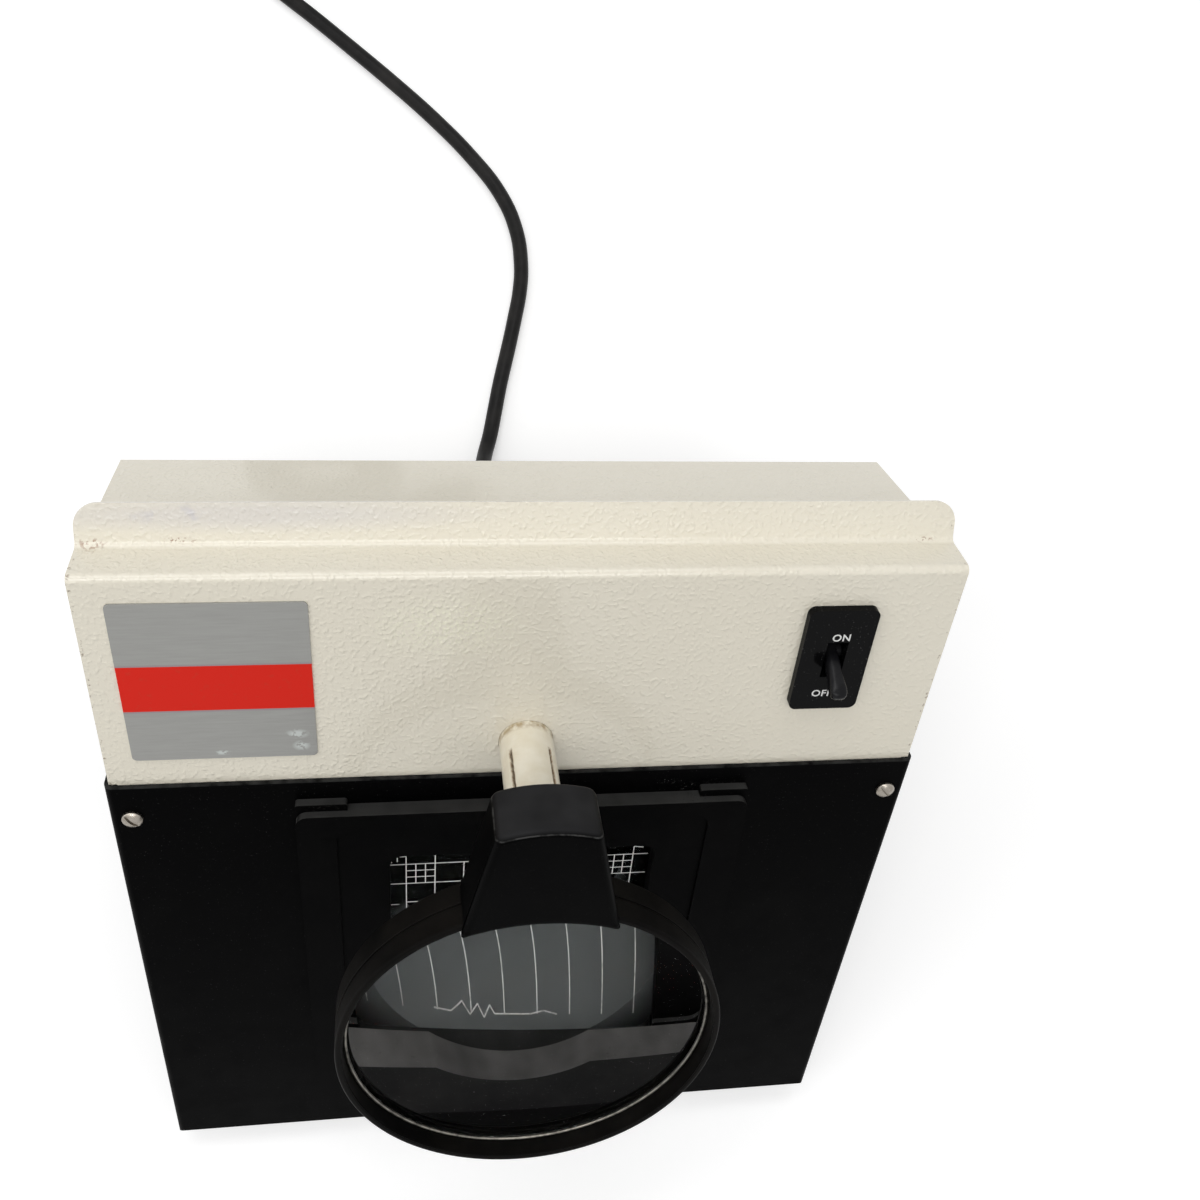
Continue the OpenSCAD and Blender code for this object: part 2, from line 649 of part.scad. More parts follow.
module switch_lever() color("#121315")
    on_face(switch_x, lever_up, -pivot_in) rotate([switch_throw, 0, 0]) {
        rotate([0, 90, 0]) cylinder(h = 7, r = 2.3, center = true);
        translate([-2.1, -2.5, 0]) cube([4.2, 5, 10]);
        translate([0, 2.1, 0]) rotate([90, 0, 0]) linear_extrude(4.2) {
            polygon([[-2.1, 8], [-3.1, 11.5], [-3.1, 14.4], [3.1, 14.4], [3.1, 11.5], [2.1, 8]]);
            translate([0, 14.4]) circle(3.1);
        }
    }

// ---------- wiring and cord ----------

// Ring of points of radius r round one point of a path, square to the path there
function heading(path, i) =
    let (d = path[min(i + 1, len(path) - 1)] - path[max(i - 1, 0)]) d / norm(d);
function sideways(d) = let (u = cross(d, abs(d[2]) < 0.8 ? [0, 0, 1] : [1, 0, 0])) u / norm(u);
function tube_ring(path, i, r, sides) =
    let (d = heading(path, i), u = sideways(d), v = cross(u, d))
    [for (k = [0:sides - 1]) path[i] + r * (u * cos(360 * k / sides) + v * sin(360 * k / sides))];
// Point at share t of the way from b to c on the smooth curve through a, b, c, d
function smooth_at(a, b, c, d, t) = 0.5 * (2 * b + (c - a) * t + (2 * a - 5 * b + 4 * c - d) * t * t
    + (3 * b - a - 3 * c + d) * t * t * t);
function smooth(path, steps) = concat(
    [for (i = [0:len(path) - 2], k = [0:steps - 1])
        smooth_at(path[max(i - 1, 0)], path[i], path[i + 1], path[min(i + 2, len(path) - 1)], k / steps)],
    [path[len(path) - 1]]);

module tube(path, r, sides = 10) {
    n = len(path);
    points = [for (i = [0:n - 1]) each tube_ring(path, i, r, sides)];
    walls = [for (i = [0:n - 2], k = [0:sides - 1])
        [i * sides + k, i * sides + (k + 1) % sides, (i + 1) * sides + (k + 1) % sides, (i + 1) * sides + k]];
    ends = [[for (k = [sides - 1:-1:0]) k], [for (k = [0:sides - 1]) (n - 1) * sides + k]];
    polyhedron(points, concat(walls, ends));
}

terminal_x = 34;
terminal_y = 74;

module terminal_block() color("#cfc9b8") translate([terminal_x, terminal_y, foot_h + sheet_t]) difference() {
    translate([-18, -8, 0]) cube([36, 16, 14]);
    for (i = [-1, 0, 1]) {
        translate([i * 11, 0, 8]) cylinder(h = 7, r = 2.4);
        translate([i * 11, 9, 5]) rotate([90, 0, 0]) cylinder(h = 18, r = 1.9);
    }
}

// Two leads from the terminals up to the lamp socket and the switch
module inner_leads() color("#3a3a3a") {
    start_z = foot_h + sheet_t + 5;
    at_socket = [socket_back + sheet_t + 0.3, face_y(lamp_up, -lamp_in) - case_mid, face_h(lamp_up, -lamp_in)];
    at_switch = [switch_x, face_y(lever_up, -hood_back - 20) - case_mid, face_h(lever_up, -hood_back - 20)];
    tube(smooth([[terminal_x + 11, terminal_y - 4, start_z], [terminal_x + 11, terminal_y - 12, start_z],
        [terminal_x + 14, terminal_y - 22, start_z + 4],
        [95, 60, 60], [112, 62, 100], [112, at_socket[1] + 8, at_socket[2] - 14],
        [100, at_socket[1], at_socket[2]], at_socket], 2), 1.4, 8);
    tube(smooth([[terminal_x, terminal_y - 4, start_z], [terminal_x, terminal_y - 12, start_z],
        [terminal_x + 4, terminal_y - 24, start_z + 6],
        [100, 40, 70], [121, 50, 120], [118, at_switch[1] + 16, at_switch[2] - 18],
        at_switch + [0, 10 * sin(face_tilt), -10 * cos(face_tilt)],
        at_switch + [0, 0.5 * sin(face_tilt), -0.5 * cos(face_tilt)]], 2), 1.4, 8);
}

module strain_relief() color("#141415") in_case() translate([cord_x, 0, cord_z]) rotate([-90, 0, 0]) difference() {
    union() {
        translate([0, 0, body_d - sheet_t - 5]) cylinder(h = 5, r = relief_r - 0.5);
        translate([0, 0, body_d - sheet_t - 1]) cylinder(h = sheet_t + 2, r = 6.2);
        translate([0, 0, body_d]) cylinder(h = 3, r = relief_r);
        translate([0, 0, body_d + 2.5]) cylinder(h = 27.5, r1 = 6.2, r2 = 4.6);
    }
    translate([0, 0, body_d - 20]) cylinder(h = 60, r = cord_r);
}

module cord_run() color(BLACK) tube(smooth(CORD_ROUTE, 2), cord_r);

module cord_tail() color(BLACK) tube(TAIL_ROUTE, cord_r);

module cord_coil() color(BLACK) translate([coil_x, coil_y, coil_low]) rotate_extrude($fn = 96)
    translate([coil_in, 0]) square([coil_r - coil_in, coil_h]);

// A short strap closed round the coil's turns
module coil_tie() color("#2c2c30") translate([coil_x, coil_y, coil_low]) rotate([0, 0, 20]) difference() {
    translate([coil_in - 1.6, -6, -coil_low]) cube([coil_r - coil_in + 3.2, 12, coil_h + coil_low + 0.8]);
    translate([coil_in - 0.8, -7, -0.05]) cube([coil_r - coil_in + 1.6, 14, coil_h + 0.1]);
}

module on_plug() translate(PLUG_AT) rotate([0, 0, PLUG_TURN]) children();

module plug_body() color(BLACK) on_plug() {
    rotate([0, 90, 0]) cylinder(h = 18, r1 = 4.6, r2 = 6.5);
    translate([17.5, 0, 0]) rotate([0, 90, 0]) cylinder(h = 9, r1 = 6.5, r2 = 11);
    translate([26 + plug_l / 2 - 4, 0, 0]) rotate([0, 90, 0])
        linear_extrude(plug_l - 8, center = true) rounded(plug_h, plug_w, 5);
}

module plug_pins() color("#c8a860") on_plug() {
    face_x = 26 + plug_l - 8;
    for (s = [-1, 1]) translate([face_x - 3, s * 6.35 - 0.75, 2.4]) cube([19, 1.5, 6.35]);
    translate([face_x - 3, 0, -6.2]) rotate([0, 90, 0]) cylinder(h = 22, r = 2.4);
}

base_shell();
bottom_plate();
rear_panel();
rubber_feet();
foot_screws();
foot_nuts();
bottom_screws();
hood_front();
rear_cover();
rear_screws();
face_screws();
face_nuts();
nameplate();
stage_plate();
dish_rest();
guide_plate();
light_well();
well_studs();
well_nuts();
dark_stop();
lamp_bracket();
lamp_socket();
bulb_cap();
bulb_glass();
lamp_shield();
post_tube();
post_collar();
arm_stem();
lens_arm();
lens_ring();
lens_bezel();
lens_retainer();
lens();
switch_plate();
switch_body();
switch_lever();
terminal_block();
inner_leads();
strain_relief();
cord_run();
cord_coil();
coil_tie();
cord_tail();
plug_body();
plug_pins();
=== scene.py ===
"""Colony counter: folded steel case, cream hood, stage for culture dishes and swinging magnifier."""
import math

import bmesh
import bpy
from mathutils import Matrix, Vector


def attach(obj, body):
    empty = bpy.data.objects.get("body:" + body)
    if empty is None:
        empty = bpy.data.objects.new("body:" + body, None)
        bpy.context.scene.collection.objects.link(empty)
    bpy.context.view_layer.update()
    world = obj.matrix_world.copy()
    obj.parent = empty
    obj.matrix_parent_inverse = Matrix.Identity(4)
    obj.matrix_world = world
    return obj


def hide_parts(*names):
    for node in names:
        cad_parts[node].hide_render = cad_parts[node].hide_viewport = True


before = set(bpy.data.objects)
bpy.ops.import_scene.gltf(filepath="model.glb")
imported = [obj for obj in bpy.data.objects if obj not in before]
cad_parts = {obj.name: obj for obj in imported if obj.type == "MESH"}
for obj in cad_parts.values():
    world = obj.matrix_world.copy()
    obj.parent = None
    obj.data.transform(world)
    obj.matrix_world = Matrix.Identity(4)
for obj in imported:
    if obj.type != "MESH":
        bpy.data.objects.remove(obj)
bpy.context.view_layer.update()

# --- Camera -----------------------------------------------------------------------------------
# Held above the case and a little left of its middle, looking almost straight down.
# A wide lens close to the object, so the case narrows towards its lower edge.
EYE = Vector((-0.0421, -0.0239, 0.5655))
LOOK = Vector((0.1487, 0.2237, -0.9632)).normalized()
UP = Vector((0.0138, 0.9734, 0.2283))
FOCAL = 36
side = LOOK.cross(UP).normalized()
camera = bpy.data.objects.new("camera", bpy.data.cameras.new("camera"))
camera.data.sensor_width = 36
camera.data.lens = FOCAL
camera.data.shift_x = 0.0194
camera.data.shift_y = -0.0017
turned = Matrix((side, side.cross(LOOK), -LOOK)).transposed().to_4x4()
camera.matrix_world = Matrix.Translation(EYE) @ turned
bpy.context.scene.collection.objects.link(camera)
bpy.context.scene.camera = camera

# --- Mains cord -------------------------------------------------------------------------------
# Round three-core flex in a satin black rubber jacket, out of the rear panel and along the bench.
# What isn't in use is wound into a double-layer coil behind the case, and ends in a moulded plug.
MM = 0.001


def start_finish(name, colour, roughness, metallic=0.0, **sockets):
    """A finish with its shader set to plain values; nodes for its detail are wired in after."""
    finish = bpy.data.materials.new(name)
    finish.use_nodes = True
    shader = finish.node_tree.nodes["Principled BSDF"]
    shader.inputs["Base Color"].default_value = (*colour, 1)
    shader.inputs["Roughness"].default_value = roughness
    shader.inputs["Metallic"].default_value = metallic
    for socket, value in sockets.items():
        shader.inputs[socket.replace("_", " ")].default_value = value
    return finish, shader


def add(finish, kind, inputs=None, **settings):
    """One more node in a finish. Inputs are values, or the sockets that feed them."""
    made = finish.node_tree.nodes.new("ShaderNode" + kind)
    for setting, value in settings.items():
        setattr(made, setting, value)
    for socket, value in (inputs or {}).items():
        if isinstance(value, bpy.types.NodeSocket):
            finish.node_tree.links.new(value, made.inputs[socket])
        else:
            made.inputs[socket].default_value = value
    return made


def place(finish):
    """Metres in the object's own frame."""
    return add(finish, "TexCoord").outputs["Object"]


def ramp(finish, value, start, end):
    """0 where value is at start, rising evenly to 1 where it is at end."""
    return add(finish, "MapRange", {"Value": value, "From Min": start, "From Max": end}).outputs["Result"]


def spread(finish, share, low, high):
    """A value from low to high, by a 0..1 share."""
    return add(finish, "MapRange", {"Value": share, "To Min": low, "To Max": high}).outputs["Result"]


def grain(finish, size_mm, low=0.0, high=1.0, detail=3.0, stretch=None):
    """Noise with blotches about size_mm across, spread so that low..high fills 0..1."""
    at = place(finish)
    if stretch:
        at = add(finish, "VectorMath", {0: at, 1: stretch}, operation="MULTIPLY").outputs[0]
    fineness = 1 / (size_mm * MM)
    noise = add(finish, "TexNoise", {"Vector": at, "Scale": fineness, "Detail": detail, "Roughness": 0.55})
    return ramp(finish, noise.outputs["Fac"], low, high)


def mixed(finish, share, under, over):
    """Colour under, going over to colour over by share."""
    made = add(finish, "Mix", {"Factor": share}, data_type="RGBA")
    for socket, value in ((made.inputs[6], under), (made.inputs[7], over)):
        if isinstance(value, bpy.types.NodeSocket):
            finish.node_tree.links.new(value, socket)
        else:
            socket.default_value = (*value, 1)
    return made.outputs[2]


def times(finish, a, b):
    return add(finish, "Math", {0: a, 1: b}, operation="MULTIPLY").outputs[0]


def give(finish, shader, socket, value):
    finish.node_tree.links.new(value, shader.inputs[socket])


def raise_by(finish, shader, height, mm):
    """Bumps of that height in millimetres from a 0..1 pattern."""
    bump = add(finish, "Bump", {"Height": height, "Distance": mm * MM})
    give(finish, shader, "Normal", bump.outputs["Normal"])


def rubber(name, colour, dust, roughness=0.45):
    """Moulded rubber: slightly cloudy, with dust held in its skin."""
    finish, shader = start_finish(name, colour, roughness, Specular_IOR_Level=0.1)
    cloud = grain(finish, 14, 0.42, 0.72)
    specks = grain(finish, 0.7, 0.66, 0.74, detail=2)
    pale_cloud = mixed(finish, times(finish, cloud, 0.5), colour, dust)
    give(finish, shader, "Base Color", mixed(finish, times(finish, specks, 0.35), pale_cloud, dust))
    give(finish, shader, "Roughness", spread(finish, cloud, roughness - 0.06, roughness + 0.12))
    raise_by(finish, shader, grain(finish, 1.1), 0.02)
    return finish


CORD_D = 7.5
CORD_ROUTE = [(-3, 119, 24), (-3, 135, 24), (-3, 150, 23.6), (-2, 161, 20), (0, 170, 13.5), (2, 179, 7.5),
              (5, 190, 4.4), (8, 204, 3.75), (11, 218, 3.75), (15.5, 236, 3.75), (19.5, 253, 3.75),
              (22.8, 269, 3.75), (24, 284, 3.75), (22, 304, 3.75), (14.5, 324, 3.75), (0, 345, 3.75),
              (-19.5, 367, 3.75), (-41, 388, 3.75), (-64, 409, 3.75), (-82, 425, 3.8), (-98, 438.5, 3.9),
              (-112, 451.5, 4.1), (-124, 465, 4.4)]
TAIL_ROUTE = [(-76, 554.6, 12.2), (-60, 553.4, 12.2), (-44, 552, 12.2), (-36, 551.3, 12.2)]
COIL_MID = (-90, 506)
COIL_OUT, COIL_IN = 49.4, 29.4
COIL_LOW, COIL_HIGH = 4.6, 12.2
COIL_START = 213.7
COIL_TURNS = 5 + 121.4 / 360
COIL_STEPS = 88
CLIMB_FROM, CLIMB_OVER = 0.465, 0.07
coil_turns = []
for i in range(COIL_STEPS + 1):
    t = i / COIL_STEPS
    inward = 2 * min(t, 1 - t)
    r = COIL_OUT + (COIL_IN - COIL_OUT) * inward
    climb = min(1, max(0, (t - CLIMB_FROM) / CLIMB_OVER))
    z = COIL_LOW + (COIL_HIGH - COIL_LOW) * climb * climb * (3 - 2 * climb)
    a = math.radians(COIL_START - 360 * COIL_TURNS * t)
    coil_turns.append((COIL_MID[0] + r * math.cos(a), COIL_MID[1] + r * math.sin(a), z))
cord_points = [Vector(p) * MM for p in CORD_ROUTE + coil_turns + TAIL_ROUTE]
line = bpy.data.curves.new("mains_cord", "CURVE")
line.dimensions = "3D"
line.bevel_depth = CORD_D / 2 * MM
line.bevel_resolution = 6
line.resolution_u = 6
line.use_fill_caps = True
spline = line.splines.new("BEZIER")
spline.bezier_points.add(len(cord_points) - 1)
for knot, p in zip(spline.bezier_points, cord_points):
    knot.co = p
    knot.handle_left_type = knot.handle_right_type = "AUTO"
mains_cord = bpy.data.objects.new("mains_cord", line)
bpy.context.scene.collection.objects.link(mains_cord)
line.materials.append(rubber("cord jacket", (0.010, 0.0095, 0.0095), (0.034, 0.032, 0.03), roughness=0.4))
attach(mains_cord, "case")
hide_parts("cord_run", "cord_coil", "cord_tail")

# --- Strain relief ----------------------------------------------------------------------------
# Tapered rubber bush with ribs that let it bend, snapped into the hole of the rear panel.
# Its collar stands against the panel outside.


def skin(name, rings, closed_ends=True):
    """A mesh over rings of as many points each, such as a moulding's cross-sections in order."""
    mesh = bpy.data.meshes.new(name)
    count = len(rings[0])
    points = [p for ring in rings for p in ring]
    faces = []
    for low in range(0, (len(rings) - 1) * count, count):
        for k in range(count):
            after = (k + 1) % count
            faces.append((low + k, low + after, low + count + after, low + count + k))
    if closed_ends:
        faces += [tuple(range(count))[::-1], tuple(range((len(rings) - 1) * count, len(rings) * count))]
    mesh.from_pydata([tuple(p) for p in points], [], faces)
    work = bmesh.new()
    work.from_mesh(mesh)
    bmesh.ops.remove_doubles(work, verts=work.verts, dist=1e-7)
    bmesh.ops.recalc_face_normals(work, faces=work.faces)
    work.to_mesh(mesh)
    work.free()
    return mesh


def oval(centre, across, over, half_w, half_h, squareness=2.0, count=40):
    """A ring of points: an ellipse at squareness 2, and closer to a rounded box as it grows."""
    ring = []
    for k in range(count):
        c, s = math.cos(2 * math.pi * k / count), math.sin(2 * math.pi * k / count)
        ring.append(centre + across * half_w * math.copysign(abs(c) ** (2 / squareness), c)
                    + over * half_h * math.copysign(abs(s) ** (2 / squareness), s))
    return ring


def piece_from_mesh(name, mesh, finish, body, sharp=32):
    """A mesh becomes a shaded piece that rides on a body of the frame."""
    mesh.materials.append(finish)
    mesh.shade_smooth()
    mesh.set_sharp_from_angle(angle=math.radians(sharp))
    piece = bpy.data.objects.new(name, mesh)
    bpy.context.scene.collection.objects.link(piece)
    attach(piece, body)
    return piece


RELIEF_AT = Vector((-3, 0, 24))
RIBS, RIB_START, RIB_PITCH = 7, 123.6, 3.4
RIB_R, RIB_TAPER, RIB_DEPTH = 6.1, 0.19, 0.8
RELIEF_PROFILE = [(112.8, 7.6), (113.2, 8), (116, 8), (116.3, 6.2), (119, 6.2), (119.05, 8.1), (119.4, 8.5),
                  (121.4, 8.5), (121.9, 8.0), (122.2, 6.4)]
for k in range(RIBS):
    at, r = RIB_START + RIB_PITCH * k, RIB_R - RIB_TAPER * k
    RELIEF_PROFILE += [(at, r), (at + 0.3, r), (at + 0.6, r - RIB_DEPTH), (at + 1.5, r - RIB_DEPTH),
                       (at + 1.8, r - 0.05)]
RELIEF_PROFILE += [(147.2, 4.9), (148.4, 4.7), (149, 4.3), (149, 3.8)]
rings = [oval((RELIEF_AT + Vector((0, y, 0))) * MM, Vector((1, 0, 0)), Vector((0, 0, 1)), r * MM, r * MM)
         for y, r in RELIEF_PROFILE]
bush_rubber = rubber("bush rubber", (0.016, 0.016, 0.017), (0.055, 0.052, 0.048), roughness=0.5)
strain_relief = piece_from_mesh("cord_bush", skin("cord_bush", rings), bush_rubber, "case")
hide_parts("strain_relief")

# --- Coil tie ---------------------------------------------------------------------------------
# A short rubber strap closed in a band round the turns of the coil.
# It lies under the coil, which it lifts by its own thickness.
TIE_ANGLE, TIE_W, TIE_T = math.radians(20), 12, 0.8
TIE_UP, TIE_HALF_W, TIE_HALF_H, TIE_SQUARENESS = 8.45, 14.1, 7.7, 4.5
out = Vector((math.cos(TIE_ANGLE), math.sin(TIE_ANGLE), 0))
along = Vector((-out.y, out.x, 0))
over = Vector((0, 0, 1))
tie_mid = Vector((*COIL_MID, 0)) + out * (COIL_OUT + COIL_IN) / 2 + Vector((0, 0, TIE_UP))
inside, outside = (TIE_HALF_W, TIE_HALF_H), (TIE_HALF_W + TIE_T, TIE_HALF_H + TIE_T - 0.05)
rings = []
for edge, (half_w, half_h) in ((-1, inside), (1, inside), (1, outside), (-1, outside), (-1, inside)):
    middle = (tie_mid + along * edge * TIE_W / 2) * MM
    rings.append(oval(middle, out, over, half_w * MM, half_h * MM, TIE_SQUARENESS, 56))
tie_mesh = skin("coil_strap", rings, closed_ends=False)
coil_strap = piece_from_mesh("coil_strap", tie_mesh, bush_rubber, "case")
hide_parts("coil_tie")

# --- Plug -------------------------------------------------------------------------------------
# A rubber plug moulded on the end of the flex, with a tapered neck, a waisted grip and a flat face.
# Its two flat blades and round earth pin are plated brass.
PLUG_AT = Vector((-40, 551.6, 12.2))
TURN = math.radians(-5)
ahead = Vector((math.cos(TURN), math.sin(TURN), 0))
across = Vector((-ahead.y, ahead.x, 0))
PLUG_SECTIONS = [(0, 4.1, 4.1, 2), (0.6, 4.6, 4.6, 2), (4, 5.0, 5.0, 2), (4.4, 4.5, 4.5, 2), (6, 4.5, 4.5, 2),
                 (6.4, 5.4, 5.4, 2), (9.6, 5.7, 5.7, 2), (10, 5.1, 5.1, 2), (11.6, 5.1, 5.1, 2),
                 (12, 6.1, 6.1, 2), (16, 6.6, 6.6, 2), (19, 7.6, 7.4, 2.2), (23, 9.8, 9.2, 2.6),
                 (27, 11.8, 10.8, 3), (31, 12.6, 11.4, 3.4), (37, 12.4, 11.2, 3.6), (43, 12.7, 11.4, 3.8),
                 (48, 13.6, 11.8, 4), (52.6, 13.9, 11.9, 4.2), (54, 13.9, 11.9, 4.2), (55.4, 13.4, 11.4, 4.2),
                 (56, 12.4, 10.4, 4.2)]
rings = [oval((PLUG_AT + ahead * d) * MM, across, over, half_w * MM, half_h * MM, squareness, 48)
         for d, half_w, half_h, squareness in PLUG_SECTIONS]
plug = piece_from_mesh("plug_moulding", skin("plug_moulding", rings), bush_rubber, "case", sharp=40)
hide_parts("plug_body")


def plated(name, colour, roughness, dull_colour=(0.2, 0.17, 0.13), aged=0.35):
    """Plated metal with fine scratches and dulled patches."""
    finish, shader = start_finish(name, colour, roughness, 1.0)
    dull = times(finish, grain(finish, 3.0, 0.45, 0.75), aged)
    give(finish, shader, "Base Color", mixed(finish, dull, colour, dull_colour))
    scratches = grain(finish, 0.5, 0.3, 0.7, stretch=(1, 1, 0.15))
    give(finish, shader, "Roughness", spread(finish, scratches, roughness * 0.7, roughness * 1.5))
    raise_by(finish, shader, scratches, 0.004)
    return finish


def finish_node(node, finish):
    """A carried-over part of the frame takes a finish."""
    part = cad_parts[node]
    for held in part.material_slots:
        held.link = "OBJECT"
        held.material = finish
    return part


finish_node("plug_pins", plated("pin plating", (0.62, 0.58, 0.5), 0.28))

# --- Bench and light --------------------------------------------------------------------------
# A plain white bench and room; two broad soft ceiling panels, one before the case and one behind
# it, and a weaker light from the left.
BENCH_HALF, BENCH_GLOW, ROOM_LIGHT = 4, 0.36, 0.45


def most(finish, *marks):
    """The strongest of several patterns, everywhere."""
    total = marks[0]
    for mark in marks[1:]:
        total = add(finish, "Math", {0: total, 1: mark}, operation="MAXIMUM").outputs[0]
    return total


def shown_ray(finish):
    """1 for rays that show a background: from the camera, in a reflection or through glass."""
    rays = add(finish, "LightPath").outputs
    return most(finish, rays["Is Camera Ray"], rays["Is Glossy Ray"], rays["Is Transmission Ray"])


room = bpy.data.worlds.new("room")
room.use_nodes = True
bpy.context.scene.world = room
backdrop = room.node_tree.nodes["Background"]
backdrop.inputs["Color"].default_value = (1, 1, 1, 1)
give(room, backdrop, "Strength", spread(room, shown_ray(room), ROOM_LIGHT, 1.0))

bench = bpy.data.objects.new("bench", bpy.data.meshes.new("bench"))
corners = [(x * BENCH_HALF, y * BENCH_HALF, 0) for x, y in ((-1, -1), (1, -1), (1, 1), (-1, 1))]
bench.data.from_pydata(corners, [], [(0, 1, 2, 3)])
bench_top, bench_shader = start_finish("bench top", (0.8, 0.8, 0.8), 0.9, Specular_IOR_Level=0.0)
bench_shader.inputs["Emission Color"].default_value = (1, 1, 1, 1)
give(bench_top, bench_shader, "Emission Strength", times(bench_top, shown_ray(bench_top), BENCH_GLOW))
bench.data.materials.append(bench_top)
bpy.context.scene.collection.objects.link(bench)


def soft_light(name, at, width, height, watts):
    """A broad lamp that faces the case."""
    lamp = bpy.data.lights.new(name, "AREA")
    lamp.shape, lamp.size, lamp.size_y, lamp.energy = "RECTANGLE", width, height, watts
    holder = bpy.data.objects.new(name, lamp)
    holder.location = at
    holder.rotation_mode = "QUATERNION"
    holder.rotation_quaternion = (Vector((0, 0, 0.1)) - Vector(at)).to_track_quat("-Z", "Y")
    bpy.context.scene.collection.objects.link(holder)


soft_light("rear ceiling panel", (-0.25, 0.75, 1.7), 1.6, 0.4, 8)
soft_light("front ceiling panel", (-0.2, -0.45, 1.6), 1.4, 0.4, 8)
soft_light("side panel", (-1.3, -0.1, 1.0), 0.9, 0.9, 3)

# --- Black case -------------------------------------------------------------------------------
# One folded sheet makes the face, the front wall and both side walls; stove-enamelled black.
# The enamel is paler in a thin line along the face's upper edge, and holds dust and scuffs.
TILT = math.radians(50)
CASE_FRONT, FACE_LOW, FACE_TOP = 0.119, 0.018, 199
BLACK, PALE_GREY = (0.0011, 0.0011, 0.0012), (0.5, 0.5, 0.48)
SCUFFS = [((59, 190, 0), (9, 2.8, 3), (0.7, 0.6, 0.7)),
          ((66, 192, 0), (6, 1.8, 3), (0.6, 0.6, 0.7)),
          ((48, 193, 0), (6, 1.4, 3), (0.6, 0.6, 0.7))]


def face_place(finish):
    """Millimetres across, up and out of the sloping face, as a vector."""
    c, s = math.cos(TILT), math.sin(TILT)
    to_face = (0, CASE_FRONT * c - FACE_LOW * s, -CASE_FRONT * s - FACE_LOW * c)
    level = add(finish, "Mapping", {"Vector": place(finish), "Rotation": (-TILT, 0, 0), "Location": to_face})
    at, to_mm = level.outputs[0], (1000, 1000, 1000)
    return add(finish, "VectorMath", {0: at, 1: to_mm}, operation="MULTIPLY").outputs[0]


def between(finish, value, low, high, edge):
    """1 where value lies from low to high, falling to 0 over edge on both sides."""
    return times(finish, ramp(finish, value, low - edge, low), ramp(finish, value, high + edge, high))


def patch(finish, at, centre, half_size, broken=None):
    """A soft oval mark at a place on the face, in mm, broken up by a pattern if one is given."""
    away = add(finish, "VectorMath", {0: at, 1: centre}, operation="SUBTRACT").outputs[0]
    scaled = add(finish, "VectorMath", {0: away, 1: half_size}, operation="DIVIDE").outputs[0]
    reach = add(finish, "VectorMath", {0: scaled}, operation="LENGTH").outputs["Value"]
    mark = ramp(finish, reach, 1.0, 0.35)
    return times(finish, mark, broken) if broken is not None else mark


def spots(finish, at, marks):
    """Several flecked patches; each mark is a centre, a half-size and its grain's size and levels."""
    return most(finish, *[patch(finish, at, centre, half_size, grain(finish, *flecks))
                          for centre, half_size, flecks in marks])


def black_enamel(name, pale_edge=False):
    """Stove enamel with dust held in it, and for the face a thin pale line along its upper edge, and scuffs.
    """
    finish, shader = start_finish(name, BLACK, 0.38, Specular_IOR_Level=0.012)
    specks = grain(finish, 0.55, 0.7, 0.76, detail=1.5)
    haze = times(finish, grain(finish, 30, 0.5, 0.8), 0.015)
    pale = most(finish, times(finish, specks, 0.35), haze)
    if pale_edge:
        at = face_place(finish)
        up = add(finish, "SeparateXYZ", {0: at}).outputs[1]
        # A thin pale line along the face's upper edge, broken up by grain.
        paling = between(finish, up, FACE_TOP - 0.5, FACE_TOP + 0.6, 0.3)
        edge = times(finish, paling, grain(finish, 5, 0.3, 0.6))
        pale = most(finish, pale, times(finish, edge, 0.35), spots(finish, at, SCUFFS))
    give(finish, shader, "Base Color", mixed(finish, times(finish, pale, 0.16), BLACK, PALE_GREY))
    give(finish, shader, "Roughness", spread(finish, grain(finish, 9, 0.35, 0.7), 0.33, 0.48))
    raise_by(finish, shader, grain(finish, 1.4), 0.012)
    return finish


def smooth_shell():
    """Node group that joins a part's split corners and shades it smoothly."""
    group = bpy.data.node_groups.new("smooth shell", "GeometryNodeTree")
    group.interface.new_socket("Geometry", in_out="INPUT", socket_type="NodeSocketGeometry")
    group.interface.new_socket("Geometry", in_out="OUTPUT", socket_type="NodeSocketGeometry")
    flow = group.nodes.new("NodeGroupInput").outputs[0]
    for kind, values in (("GeometryNodeRemoveAttribute", {"Name": "custom_normal"}),
                         ("GeometryNodeMergeByDistance", {"Distance": 1e-6}),
                         ("GeometryNodeSetShadeSmooth", {})):
        step = group.nodes.new(kind)
        for socket, value in values.items():
            step.inputs[socket].default_value = value
        group.links.new(flow, step.inputs[0])
        flow = step.outputs[0]
    group.links.new(flow, group.nodes.new("NodeGroupOutput").inputs[0])
    return group


SMOOTH_SHELL = smooth_shell()


def ease_edges(part, radius_mm, segments=2, angle=30, whole_faces=False, kept_in=True):
    """Rounds a part's corners a little and lets its bends shade smoothly.

    whole_faces first joins flat faces that were cut up; kept_in stops roundings that would cross.
    """
    part.modifiers.new("smooth shell", "NODES").node_group = SMOOTH_SHELL
    if whole_faces:
        joined = part.modifiers.new("whole faces", "DECIMATE")
        joined.decimate_type, joined.angle_limit = "DISSOLVE", math.radians(1)
    bevel = part.modifiers.new("eased edges", "BEVEL")
    bevel.width, bevel.segments, bevel.angle_limit = radius_mm * MM, segments, math.radians(angle)
    bevel.use_clamp_overlap = kept_in
    bevel.miter_outer = "MITER_ARC"
    even = part.modifiers.new("even shading", "WEIGHTED_NORMAL")
    even.keep_sharp = False
    return part


ease_edges(finish_node("base_shell", black_enamel("black enamel", pale_edge=True)), 0.3)
case_black = black_enamel("plain black enamel")
for node in ("bottom_plate", "rear_panel"):
    ease_edges(finish_node(node, case_black), 0.25)
